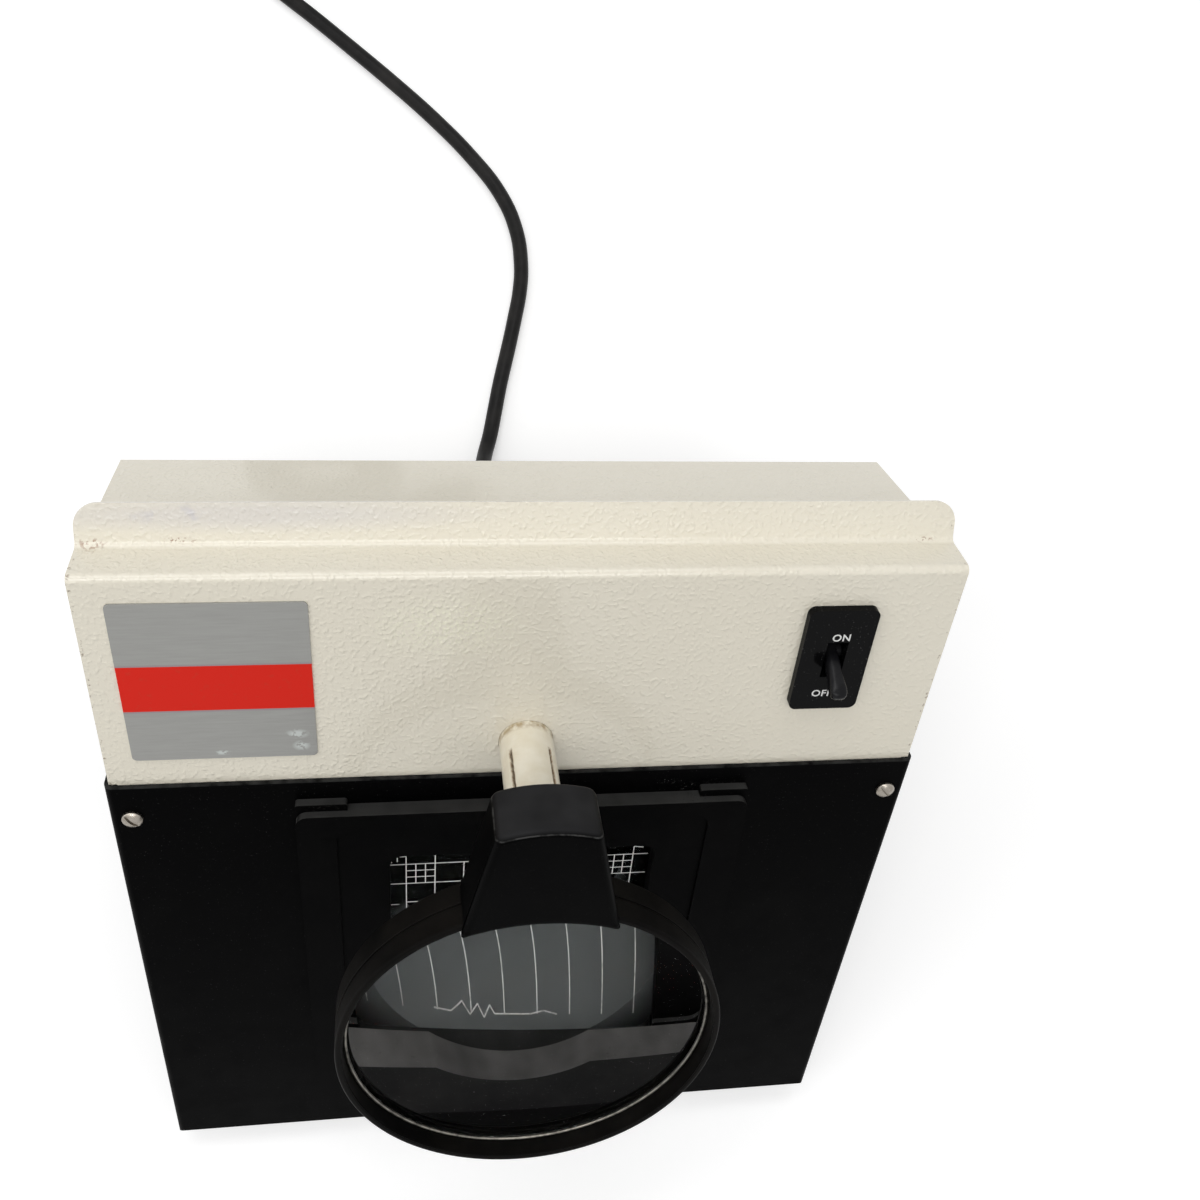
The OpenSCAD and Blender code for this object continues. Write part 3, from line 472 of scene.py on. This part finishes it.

# --- Feet -------------------------------------------------------------------------------------
# Moulded rubber feet under the bottom plate, each held by a screw in its hollow and a nut.
# Cylindrical with an eased edge, with dust held in the rubber.
foot_rubber = rubber("foot rubber", (0.02, 0.02, 0.021), (0.09, 0.085, 0.078), roughness=0.6)
ease_edges(finish_node("rubber_feet", foot_rubber), 0.8, 3)
zinc = plated("zinc plate", (0.46, 0.45, 0.43), 0.34)
for node in ("foot_screws", "foot_nuts", "bottom_screws", "rear_screws", "face_nuts", "well_studs",
             "well_nuts"):
    finish_node(node, zinc)

# --- Cream hood -------------------------------------------------------------------------------
# Two folded sheets in glossy cream enamel with a fine orange-peel: the front panel with its shelf
# and standing lip, and the cover behind it. Grey smears and rust specks mark the lip's ends.
CREAM, AGED_CREAM, PINHOLE = (0.78, 0.735, 0.62), (0.768, 0.72, 0.602), (0.6, 0.54, 0.43)
SMEARED, FADED, RUST, CHIPPED = (0.5, 0.49, 0.56), (0.86, 0.84, 0.66), (0.25, 0.1, 0.035), (0.2, 0.14, 0.09)
RUST_SPOTS = [((-127.5, 280, -16.5), (5, 1.6, 5), (1.2, 0.5, 0.6)),
              ((-103, 280.6, -16.5), (6, 1.1, 5), (1.0, 0.52, 0.6)),
              ((122, 279.8, -16), (4, 0.8, 5), (0.9, 0.54, 0.62))]
RIM_FROM, RIM_TO = 131.2, 133


def cream_enamel(name, marked):
    """Glossy enamel with nibs under a clear skin; marked adds the front panel's own wear."""
    finish, shader = start_finish(name, CREAM, 0.34, Specular_IOR_Level=0.5, Coat_Weight=0.5,
                                  Coat_Roughness=0.08)
    colour = mixed(finish, grain(finish, 70, 0.3, 0.75, detail=1), CREAM, AGED_CREAM)
    pinholes = times(finish, grain(finish, 0.5, 0.7, 0.78, detail=1), 0.3)
    colour = mixed(finish, pinholes, colour, PINHOLE)
    if marked:
        at = face_place(finish)
        smear = patch(finish, at, (-104, 288, -18), (20, 4.5, 9), grain(finish, 7, 0.35, 0.62))
        smear = most(finish, smear, times(finish, patch(finish, at, (-84, 288, -18), (80, 6, 9)), 0.5))
        colour = mixed(finish, times(finish, smear, 0.65), colour, SMEARED)
        faded = patch(finish, at, (-27.4, 260, -1.5), (27, 15, 9), grain(finish, 0.9, 0.42, 0.62))
        colour = mixed(finish, times(finish, faded, 0.65), colour, FADED)
        colour = mixed(finish, times(finish, spots(finish, at, RUST_SPOTS), 0.8), colour, RUST)
        sideways = add(finish, "SeparateXYZ", {0: at}).outputs[0]
        from_middle = add(finish, "Math", {0: sideways}, operation="ABSOLUTE").outputs[0]
        rim = between(finish, from_middle, RIM_FROM, RIM_TO, 0.5)
        chips = times(finish, rim, grain(finish, 1.5, 0.6, 0.66))
        colour = mixed(finish, times(finish, chips, 0.7), colour, CHIPPED)
    give(finish, shader, "Base Color", colour)
    give(finish, shader, "Roughness", spread(finish, grain(finish, 12, 0.35, 0.7), 0.31, 0.37))
    peel = grain(finish, 1.3, 0.25, 0.75, detail=1.5)
    nibs = times(finish, grain(finish, 1.3, 0.5, 0.78, detail=0.5), 2.2)
    raise_by(finish, shader, add(finish, "Math", {0: peel, 1: nibs}, operation="ADD").outputs[0], 0.055)
    return finish


ease_edges(finish_node("hood_front", cream_enamel("cream enamel", marked=True)), 0.35)
ease_edges(finish_node("rear_cover", cream_enamel("plain cream enamel", marked=False)), 0.35)
slotted = plated("screw plating", (0.36, 0.33, 0.29), 0.3, aged=0.7)
ease_edges(finish_node("face_screws", slotted), 0.12)

# --- Nameplate --------------------------------------------------------------------------------
# Thin anodised aluminium, glued to the front panel; a bare plate with one painted red band.
# Glue shows as pale spots near its lower corner.
RED_LOW, RED_HIGH, RED_BORDER = 229.8, 247.0, 0.7
GLUE_SPOTS = [((-73, 219, 0), (4, 2.2, 9), (1.6, 0.42, 0.5)),
              ((-72, 214, 0), (3, 2.4, 9), (1.3, 0.42, 0.5)),
              ((-96, 212, 0), (3, 1.2, 9), (1.3, 0.45, 0.52))]
plate, plate_shader = start_finish("nameplate", (0.34, 0.34, 0.33), 0.42, 0.55, Specular_IOR_Level=0.15)
at = face_place(plate)
up = add(plate, "SeparateXYZ", {0: at}).outputs[1]
brushed = grain(plate, 0.8, 0.3, 0.7, stretch=(0.08, 1, 1))
silver = mixed(plate, times(plate, brushed, 0.35), (0.32, 0.32, 0.305), (0.4, 0.4, 0.385))
silver = mixed(plate, times(plate, spots(plate, at, GLUE_SPOTS), 0.7), silver, (0.62, 0.66, 0.64))
band = between(plate, up, RED_LOW - RED_BORDER, RED_HIGH + RED_BORDER, 0.1)
silver = mixed(plate, band, silver, (0.33, 0.28, 0.29))
thin_paint = times(plate, grain(plate, 2, 0.6, 0.7), 0.4)
red = mixed(plate, thin_paint, (0.7, 0.018, 0.008), (0.6, 0.04, 0.02))
give(plate, plate_shader, "Base Color", mixed(plate, between(plate, up, RED_LOW, RED_HIGH, 0.1), silver, red))
give(plate, plate_shader, "Metallic", spread(plate, band, 0.55, 0.0))
raise_by(plate, plate_shader, brushed, 0.004)
ease_edges(finish_node("nameplate", plate), 0.15)

# --- Switch -----------------------------------------------------------------------------------
# A glossy black moulded plate over the cutout, a body behind it, and a tapered toggle lever.
# ON and OFF are printed above and below the slot.
ACROSS, UPWARD = Vector((1, 0, 0)), Vector((0, math.cos(TILT), math.sin(TILT)))
OUTWARD = Vector((0, -math.sin(TILT), math.cos(TILT)))


def on_face(x, up, out):
    """A point in metres: across, up the slope from the face's lower edge, and out from it, in mm."""
    return Vector((x * MM, up * MM * math.cos(TILT) - out * MM * math.sin(TILT) - CASE_FRONT,
                   up * MM * math.sin(TILT) + out * MM * math.cos(TILT) + FACE_LOW))


def clouded(finish, shader, under, over, size_mm, low=0.4, high=0.8):
    """Colours a finish: colour under, with clouds of colour over about size_mm across."""
    give(finish, shader, "Base Color", mixed(finish, grain(finish, size_mm, low, high), under, over))


GLOSS_BLACK, LINT = (0.002, 0.002, 0.0022), (0.3, 0.3, 0.29)
gloss_black, gloss_shader = start_finish("glossy black moulding", GLOSS_BLACK, 0.16, Specular_IOR_Level=0.02,
                                         Coat_Weight=0.12, Coat_Roughness=0.04)
lint = times(gloss_black, grain(gloss_black, 0.6, 0.69, 0.75, detail=1.5), 0.18)
give(gloss_black, gloss_shader, "Base Color", mixed(gloss_black, lint, GLOSS_BLACK, LINT))
give(gloss_black, gloss_shader, "Roughness", spread(gloss_black, grain(gloss_black, 5, 0.4, 0.7), 0.12, 0.26))
raise_by(gloss_black, gloss_shader, grain(gloss_black, 3), 0.01)
ease_edges(finish_node("switch_plate", gloss_black), 1.2, 5)
finish_node("switch_body", gloss_black)

SWITCH_X, LEVER_UP, PIVOT_IN = 94.5, 245.8, 4
THROW = math.radians(24)
LEVER_SECTIONS = [(-2.3, 1.0, 1.2), (-1.6, 1.9, 2.0), (0, 2.1, 2.4), (7.5, 2.3, 2.3), (9.5, 2.45, 2.2),
                  (11.5, 2.6, 2.15), (14, 2.8, 2.1), (15.6, 2.7, 1.95), (16.7, 2.3, 1.6), (17.25, 1.6, 1.0),
                  (17.45, 0.6, 0.4)]
LEVER_BLACK = (0.006, 0.006, 0.007)
AXLE_SECTIONS = [(-3.5, 1.9), (-3.2, 2.2), (3.2, 2.2), (3.5, 1.9)]
lever_along = OUTWARD * math.cos(THROW) - UPWARD * math.sin(THROW)
lever_over = UPWARD * math.cos(THROW) + OUTWARD * math.sin(THROW)
pivot = on_face(SWITCH_X, LEVER_UP, -PIVOT_IN)
lever_black, lever_shader = start_finish("lever moulding", LEVER_BLACK, 0.2, Specular_IOR_Level=0.12)
clouded(lever_black, lever_shader, LEVER_BLACK, (0.012, 0.012, 0.013), 4, high=0.7)
raise_by(lever_black, lever_shader, grain(lever_black, 1.5), 0.01)
rings = [oval(pivot + lever_along * d * MM, ACROSS, lever_over, half_w * MM, half_h * MM, 3.4, 36)
         for d, half_w, half_h in LEVER_SECTIONS]
lever_mesh = skin("toggle_lever", rings)
lever = piece_from_mesh("toggle_lever", lever_mesh, lever_black, "switch", sharp=50)
rings = [oval(pivot + ACROSS * x * MM, UPWARD, OUTWARD, r * MM, r * MM) for x, r in AXLE_SECTIONS]
piece_from_mesh("toggle_axle", skin("toggle_axle", rings), lever_black, "switch")
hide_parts("switch_lever")

LETTER_H, LETTER_THICK, LETTER_BOLD, PLATE_OUT = 3.7, 0.02, 0.06, 1.33
mark_white, mark_shader = start_finish("printed marks", (0.75, 0.75, 0.73), 0.5)
clouded(mark_white, mark_shader, (0.75, 0.75, 0.73), (0.45, 0.45, 0.44), 0.5, 0.6, 0.75)
along_face = Matrix((ACROSS, UPWARD, OUTWARD)).transposed().to_4x4()
for word, x, up_mm in (("ON", 95.1, 254.6), ("OFF", 93.2, 231.9)):
    letters = bpy.data.curves.new("mark", "FONT")
    letters.body = word
    letters.size, letters.extrude, letters.offset = LETTER_H * MM, LETTER_THICK * MM, LETTER_BOLD * MM
    letters.align_x, letters.align_y, letters.space_character = "CENTER", "CENTER", 1.08
    holder = bpy.data.objects.new("mark", letters)
    bpy.context.scene.collection.objects.link(holder)
    bpy.context.view_layer.update()
    flat = bpy.data.meshes.new_from_object(holder.evaluated_get(bpy.context.evaluated_depsgraph_get()))
    bpy.data.objects.remove(holder)
    flat.transform(Matrix.Translation(on_face(x, up_mm, PLATE_OUT)) @ along_face)
    piece_from_mesh("switch_mark_" + word.lower(), flat, mark_white, "case")

# --- Stage ------------------------------------------------------------------------------------
# Moulded black stage plate with a shallow recess round its window, two lugs on its upper corners,
# and a dish rest with a curved notch. Matt, greyed by dust, with a few scuffs on its face.
# On both, the faces turned up the slope are painted lighter as painted light, with a painted highlight along
# their crease.


def facing(finish, way):
    """How squarely the surface looks that way: 1 straight on, down to -1 from behind."""
    normal = add(finish, "TexCoord").outputs["Normal"]
    return add(finish, "VectorMath", {0: normal, 1: tuple(way)}, operation="DOT_PRODUCT").outputs["Value"]


def matt_moulding(name, colour, dust, pale_cloud=0.5, roughness=0.55, scuffed=False, gloss=0.04, paling=None):
    """Dull black moulding. Painted light, if given: the faces turned one way are painted a lighter colour,
    and a painted highlight runs along the crease where they turn; it takes the way, the lit colour and the
    highlight's colour.
    """
    finish, shader = start_finish(name, colour, roughness, Specular_IOR_Level=gloss)
    haze = times(finish, grain(finish, 22, 0.4, 0.75, detail=4), pale_cloud)
    specks = times(finish, grain(finish, 0.6, 0.68, 0.74, detail=1.5), 0.5)
    pale = most(finish, haze, specks)
    if scuffed:
        at = face_place(finish)
        pale = most(finish, pale, patch(finish, at, (60, 188, 3), (14, 3, 4), grain(finish, 0.7, 0.6, 0.7)),
                    patch(finish, at, (-66, 190, 4), (8, 2, 3), grain(finish, 1.0, 0.55, 0.62)))
        cuts = most(finish, patch(finish, at, (-65, 178, 6), (4, 0.9, 2)),
                    patch(finish, at, (57, 164, 5), (5, 0.9, 2)))
    # Painted light: faces turned the given way are painted a lighter colour, broken by grain, and a painted
    # highlight runs along the crease where they turn.
    if paling:
        way, lit_tone, crease_highlight_tone = paling
        toward_light = facing(finish, way)
        painted_lit_side = times(finish, ramp(finish, toward_light, 0.5, 0.85), grain(finish, 9, -0.6, 0.7, detail=1))
        crease_highlight = times(finish, between(finish, toward_light, 0.42, 0.5, 0.08), grain(finish, 2.5, 0.35, 0.6))
        colour = mixed(finish, crease_highlight, mixed(finish, painted_lit_side, colour, lit_tone), crease_highlight_tone)
    colour = mixed(finish, pale, colour, dust)
    if scuffed:
        colour = mixed(finish, cuts, colour, (0.001, 0.001, 0.001))
    give(finish, shader, "Base Color", colour)
    give(finish, shader, "Roughness", spread(finish, haze, roughness - 0.08, roughness + 0.15))
    raise_by(finish, shader, grain(finish, 0.8), 0.02)
    return finish


# The plate and the rest take painted light on their faces turned up the slope, and a painted highlight along
# the crease.
stage_black = matt_moulding("stage moulding", (0.0012, 0.0012, 0.0013), (0.014, 0.0135, 0.0125), pale_cloud=0.08,
                            roughness=0.5, scuffed=True, gloss=0.012,
                            paling=(UPWARD, (0.035, 0.035, 0.034), (0.06, 0.06, 0.058)))
ease_edges(finish_node("stage_plate", stage_black), 0.9, 4)
rest_black = matt_moulding("rest moulding", (0.004, 0.004, 0.0042), (0.03, 0.028, 0.027), pale_cloud=0.3,
                           roughness=0.5, gloss=0.03,
                           paling=(UPWARD, (0.13, 0.125, 0.122), (0.18, 0.18, 0.176)))
ease_edges(finish_node("dish_rest", rest_black), 0.7, 3)

# --- Guide plate ------------------------------------------------------------------------------
# Clear glass under the window, ruled in white with centimetre lines; some squares are divided in
# nine. The cross lines have worn away lower down, and the line at the rest is chipped.


def clear_glass(name, colour, ior=1.52):
    """Clear glass bloomed with a film that cuts its reflections, and a sprinkling of dust."""
    finish, shader = start_finish(name, colour, 0.0, Transmission_Weight=1.0, IOR=ior,
                                  Specular_Tint=(0, 0, 0, 1), Thin_Film_Thickness=125.0, Thin_Film_IOR=1.24)
    dust = times(finish, grain(finish, 0.6, 0.73, 0.79, detail=1.5), 0.2)
    clear = add(finish, "Math", {0: 1.0, 1: dust}, operation="SUBTRACT").outputs[0]
    give(finish, shader, "Transmission Weight", clear)
    return finish, shader


guide_glass, guide_shader = clear_glass("guide glass", (0.75, 0.8, 0.79), ior=1.15)
clouded(guide_glass, guide_shader, (0.97, 0.985, 0.98), (0.92, 0.935, 0.93), 25)
finish_node("guide_plate", guide_glass)

SQUARE, RULED_LOW, RULED_ROWS, RULED_HALF = 10, 55.4, 10, 40
RULED_TOP, CHIPPED_UP = RULED_LOW + SQUARE * RULED_ROWS, 64.6
FIRST_CROSS_ROW, CROSS_REACH, OVERSHOOT = 8, 45.4, 4
GUIDE_OUT, LINE_W, LINE_LOW, LINE_HIGH = -1.5, 0.34, 0.002, 0.03
DIVIDED = [(-40, 9), (30, 9), (20, 5), (20, 4)]
strokes = []
for x in range(-RULED_HALF, RULED_HALF + 1, SQUARE):
    strokes.append((x, CHIPPED_UP, x, RULED_TOP + (OVERSHOOT if abs(x) == RULED_HALF or x == -30 else 0)))
for row in range(FIRST_CROSS_ROW, RULED_ROWS + 1):
    reach = CROSS_REACH if row >= RULED_ROWS - 1 else RULED_HALF
    strokes.append((-reach, RULED_LOW + SQUARE * row, reach, RULED_LOW + SQUARE * row))
for x, row in DIVIDED:
    low = RULED_LOW + SQUARE * row
    for third in (SQUARE / 3, 2 * SQUARE / 3):
        strokes += [(x + third, low, x + third, low + SQUARE), (x, low + third, x + SQUARE, low + third)]
strokes += [(-40, RULED_TOP + 4, -43, RULED_TOP + 4), (-43, RULED_TOP + 4, -43, RULED_TOP + 1.5),
            (-45, RULED_TOP + 1, -45, RULED_TOP + 4), (40, RULED_TOP + 4, 43.4, RULED_TOP + 3.4),
            (-45.4, 134.3, -42.5, 134.3)]
CHIPS = [(-21, 0.4), (-16, 0), (-12.6, 2.2), (-10.4, -0.6), (-8, 1.9), (-6.2, -1.2), (-4.4, 1.8), (-3, -0.2),
         (8, 0), (12, 0.9), (16, 0)]
chipped = [(x, CHIPPED_UP + up) for x, up in CHIPS]
strokes += [(*a, *b) for a, b in zip(chipped, chipped[1:])]
points, faces = [], []
for x0, y0, x1, y1 in strokes:
    run = Vector((x1 - x0, y1 - y0)).normalized()
    side_step = Vector((-run.y, run.x)) * LINE_W / 2
    base = len(points)
    for x, y in ((x0, y0), (x1, y1)):
        for s in (-1, 1):
            for out_mm in (GUIDE_OUT + LINE_LOW, GUIDE_OUT + LINE_HIGH):
                points.append(on_face(x + s * side_step.x, y + s * side_step.y, out_mm))
    faces += [tuple(base + i for i in quad) for quad in
              ((0, 2, 3, 1), (4, 5, 7, 6), (0, 1, 5, 4), (2, 6, 7, 3), (1, 3, 7, 5), (0, 4, 6, 2))]
ruling = bpy.data.meshes.new("guide_ruling")
ruling.from_pydata([tuple(p) for p in points], [], faces)
line_white, line_shader = start_finish("ruling paint", (0.8, 0.8, 0.78), 0.6)
clouded(line_white, line_shader, (0.85, 0.85, 0.83), (0.5, 0.5, 0.48), 1.5, 0.55, 0.7)
piece_from_mesh("guide_ruling", ruling, line_white, "case")

# --- Light well and lamp ----------------------------------------------------------------------
# Spun metal well behind the guide plate, dull black inside, with its dark stop. A pool of painted light lies
# on its lower wall, cut by a painted shadow on the left. Behind it a tubular lamp lies in a porcelain holder
# under a half-round reflector.
STOP_BLACK, WELL_BLACK = (0.003, 0.003, 0.003), (0.006, 0.006, 0.006)
dull_black, dull_shader = start_finish("dull black", STOP_BLACK, 0.8, Specular_IOR_Level=0.1)
clouded(dull_black, dull_shader, STOP_BLACK, (0.012, 0.012, 0.011), 8, 0.5)
finish_node("dark_stop", dull_black)
well_grey, well_shader = start_finish("well enamel", (0.02, 0.02, 0.02), 0.6, Specular_IOR_Level=0.05)
at = face_place(well_grey)
# Painted light and shade: the wall is pale inside an oval pool of painted light, less a painted shadow on the
# left, and black elsewhere.
painted_shadow = patch(well_grey, at, (-50, 86, -50), (34, 32, 40))
outside_painted_shadow = add(well_grey, "Math", {0: 1.0, 1: painted_shadow}, operation="SUBTRACT").outputs[0]
painted_light_pool = times(well_grey, patch(well_grey, at, (-3, 76, -30), (58, 44, 160)), outside_painted_shadow)
pale_cloud = mixed(well_grey, grain(well_grey, 18, 0.4, 0.8), (0.72, 0.74, 0.75), (0.8, 0.815, 0.82))
give(well_grey, well_shader, "Base Color", mixed(well_grey, painted_light_pool, WELL_BLACK, pale_cloud))
ease_edges(finish_node("light_well", well_grey), 0.2)
bracket_zinc = plated("bracket plating", (0.5, 0.5, 0.5), 0.4)
finish_node("lamp_bracket", bracket_zinc)
finish_node("lamp_shield", plated("reflector", (0.7, 0.71, 0.72), 0.2, aged=0.15))
porcelain, porcelain_shader = start_finish("porcelain", (0.7, 0.67, 0.6), 0.25)
clouded(porcelain, porcelain_shader, (0.72, 0.69, 0.62), (0.6, 0.56, 0.48), 9, 0.45)
for node in ("lamp_socket", "terminal_block"):
    ease_edges(finish_node(node, porcelain), 0.5, 3)
finish_node("bulb_cap", plated("cap brass", (0.6, 0.46, 0.22), 0.35))
frosted, frosted_shader = start_finish("frosted bulb", (0.85, 0.83, 0.78), 0.5, Transmission_Weight=0.4)
clouded(frosted, frosted_shader, (0.87, 0.85, 0.8), (0.78, 0.75, 0.68), 20)
finish_node("bulb_glass", frosted)
finish_node("inner_leads", rubber("lead insulation", (0.05, 0.05, 0.05), (0.1, 0.1, 0.09)))

# --- Post and stem ----------------------------------------------------------------------------
# Cream-enamelled steel tube through the front panel, split four ways so that it grips the stem.
# The enamel is browned and chipped round its foot and along the slots.
POST_X, POST_UP, SLOT_START = -1.4, 212.3, 9
SLOT_DARK, SLOT_EDGE = 0.5, 0.95
post, post_shader = start_finish("post enamel", CREAM, 0.3)
at = face_place(post)
out_mm = add(post, "SeparateXYZ", {0: at}).outputs[2]
foot = times(post, between(post, out_mm, -3, 0.1, 2.2), grain(post, 2.2, 0.35, 0.6))
centred = add(post, "VectorMath", {0: at, 1: (POST_X, POST_UP, 0)}, operation="SUBTRACT").outputs[0]
quartered = add(post, "Mapping", {"Vector": centred, "Rotation": (0, 0, math.radians(45))}).outputs[0]
slots = []
for off_slot in add(post, "SeparateXYZ", {0: quartered}).outputs[:2]:
    near = add(post, "Math", {0: off_slot}, operation="ABSOLUTE").outputs[0]
    slots.append(ramp(post, near, SLOT_EDGE, SLOT_DARK))
split = times(post, most(post, *slots), ramp(post, out_mm, SLOT_START - 1, SLOT_START))
worn = times(post, split, grain(post, 1.8, 0.3, 0.55))
grubby = mixed(post, grain(post, 9, 0.4, 0.7), CREAM, (0.7, 0.64, 0.5))
stained = mixed(post, times(post, foot, 0.75), grubby, (0.3, 0.2, 0.07))
give(post, post_shader, "Base Color", mixed(post, times(post, worn, 0.8), stained, (0.22, 0.13, 0.06)))
raise_by(post, post_shader, grain(post, 1.3, 0.25, 0.75, detail=1.5), 0.04)
ease_edges(finish_node("post_tube", post), 0.2)
finish_node("post_collar", zinc)
finish_node("arm_stem", plated("ground steel", (0.5, 0.49, 0.47), 0.3, aged=0.5))

# --- Lens arm ---------------------------------------------------------------------------------
# Moulded black wedge with softly rounded corners, pressed on the stem; its wide end is hollowed to
# the ring and laps over it in front.
# Painted light: its faces turned up the slope are painted lighter, with a painted highlight along the crease
# below them.
arm_black = matt_moulding("arm moulding", (0.0012, 0.0012, 0.0013), (0.016, 0.016, 0.0155), pale_cloud=0.08,
                          roughness=0.48, gloss=0.015,
                          paling=(UPWARD, (0.024, 0.024, 0.025), (0.05, 0.05, 0.049)))
ease_edges(finish_node("lens_arm", arm_black), 2.3, 5, angle=28, whole_faces=True, kept_in=False)

# --- Lens ring --------------------------------------------------------------------------------
# Two moulded rings screwed together with a seam between them, dusty brown-grey outside.
# A thin wire holds the lens against its seat; it is painted near black in patches, as painted shade, so that
# it is bright only in places.
ring_black = matt_moulding("ring moulding", (0.0028, 0.0027, 0.0026), (0.012, 0.0105, 0.009), pale_cloud=0.5,
                           roughness=0.5, gloss=0.03)
for node in ("lens_ring", "lens_bezel"):
    ease_edges(finish_node(node, ring_black), 0.3, 2)
# Painted shade: the wire's near-black patches stand in for the dark it reflects, leaving glints between.
wire = plated("retainer wire", (0.22, 0.21, 0.185), 0.35, dull_colour=(0.012, 0.011, 0.01), aged=1.0)
finish_node("lens_retainer", wire)

# --- Lens -------------------------------------------------------------------------------------
# A double-convex crown-glass magnifier, both faces ground to the same curve and lightly dusty.
LENS_UP, LENS_R, LENS_CURVE, LENS_EDGE, LENS_MID = 136.5, 59.3, 480, 3, 50.745
RING_FRONT, RING_LEAN = 59.6, math.radians(3.9)
TURNS, BANDS = 128, 40


def on_lens(x, up, height):
    """A point about the lens's own axis, which leans a little down the slope."""
    rise = height - RING_FRONT
    return on_face(POST_X + x, LENS_UP + up * math.cos(RING_LEAN) + rise * math.sin(RING_LEAN),
                   RING_FRONT - up * math.sin(RING_LEAN) + rise * math.cos(RING_LEAN))


sag = LENS_CURVE - math.sqrt(LENS_CURVE ** 2 - LENS_R ** 2)
points, faces = [], []
for face in (1, -1):
    points.append(on_lens(0, 0, LENS_MID + face * (LENS_EDGE / 2 + sag)))
    start = len(points)
    for band in range(1, BANDS + 1):
        r = LENS_R * band / BANDS
        height = LENS_EDGE / 2 + sag - (LENS_CURVE - math.sqrt(LENS_CURVE ** 2 - r * r))
        for k in range(TURNS):
            a = 2 * math.pi * k / TURNS
            points.append(on_lens(r * math.cos(a), r * math.sin(a), LENS_MID + face * height))
    for k in range(TURNS):
        j = (k + 1) % TURNS
        faces.append((start - 1, start + k, start + j)[::face])
        for band in range(BANDS - 1):
            a, b = start + band * TURNS, start + (band + 1) * TURNS
            faces.append((a + k, b + k, b + j, a + j)[::face])
edge_front, edge_back = 1 + (BANDS - 1) * TURNS, 2 + (2 * BANDS - 1) * TURNS
for k in range(TURNS):
    j = (k + 1) % TURNS
    faces.append((edge_front + k, edge_back + k, edge_back + j, edge_front + j))
lens_mesh = bpy.data.meshes.new("magnifier_lens")
lens_mesh.from_pydata([tuple(p) for p in points], [], faces)
crown_glass, crown_shader = clear_glass("crown glass", (0.95, 0.97, 0.96))
clouded(crown_glass, crown_shader, (0.985, 0.99, 0.985), (0.96, 0.97, 0.965), 30)
lens = piece_from_mesh("magnifier_lens", lens_mesh, crown_glass, "lens_holder", sharp=40)
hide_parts("lens")

# --- Colour view ------------------------------------------------------------------------------
# Colours are shown plainly, under the standard view transform.
bpy.context.scene.view_settings.view_transform = "Standard"
bpy.context.view_layer.update()
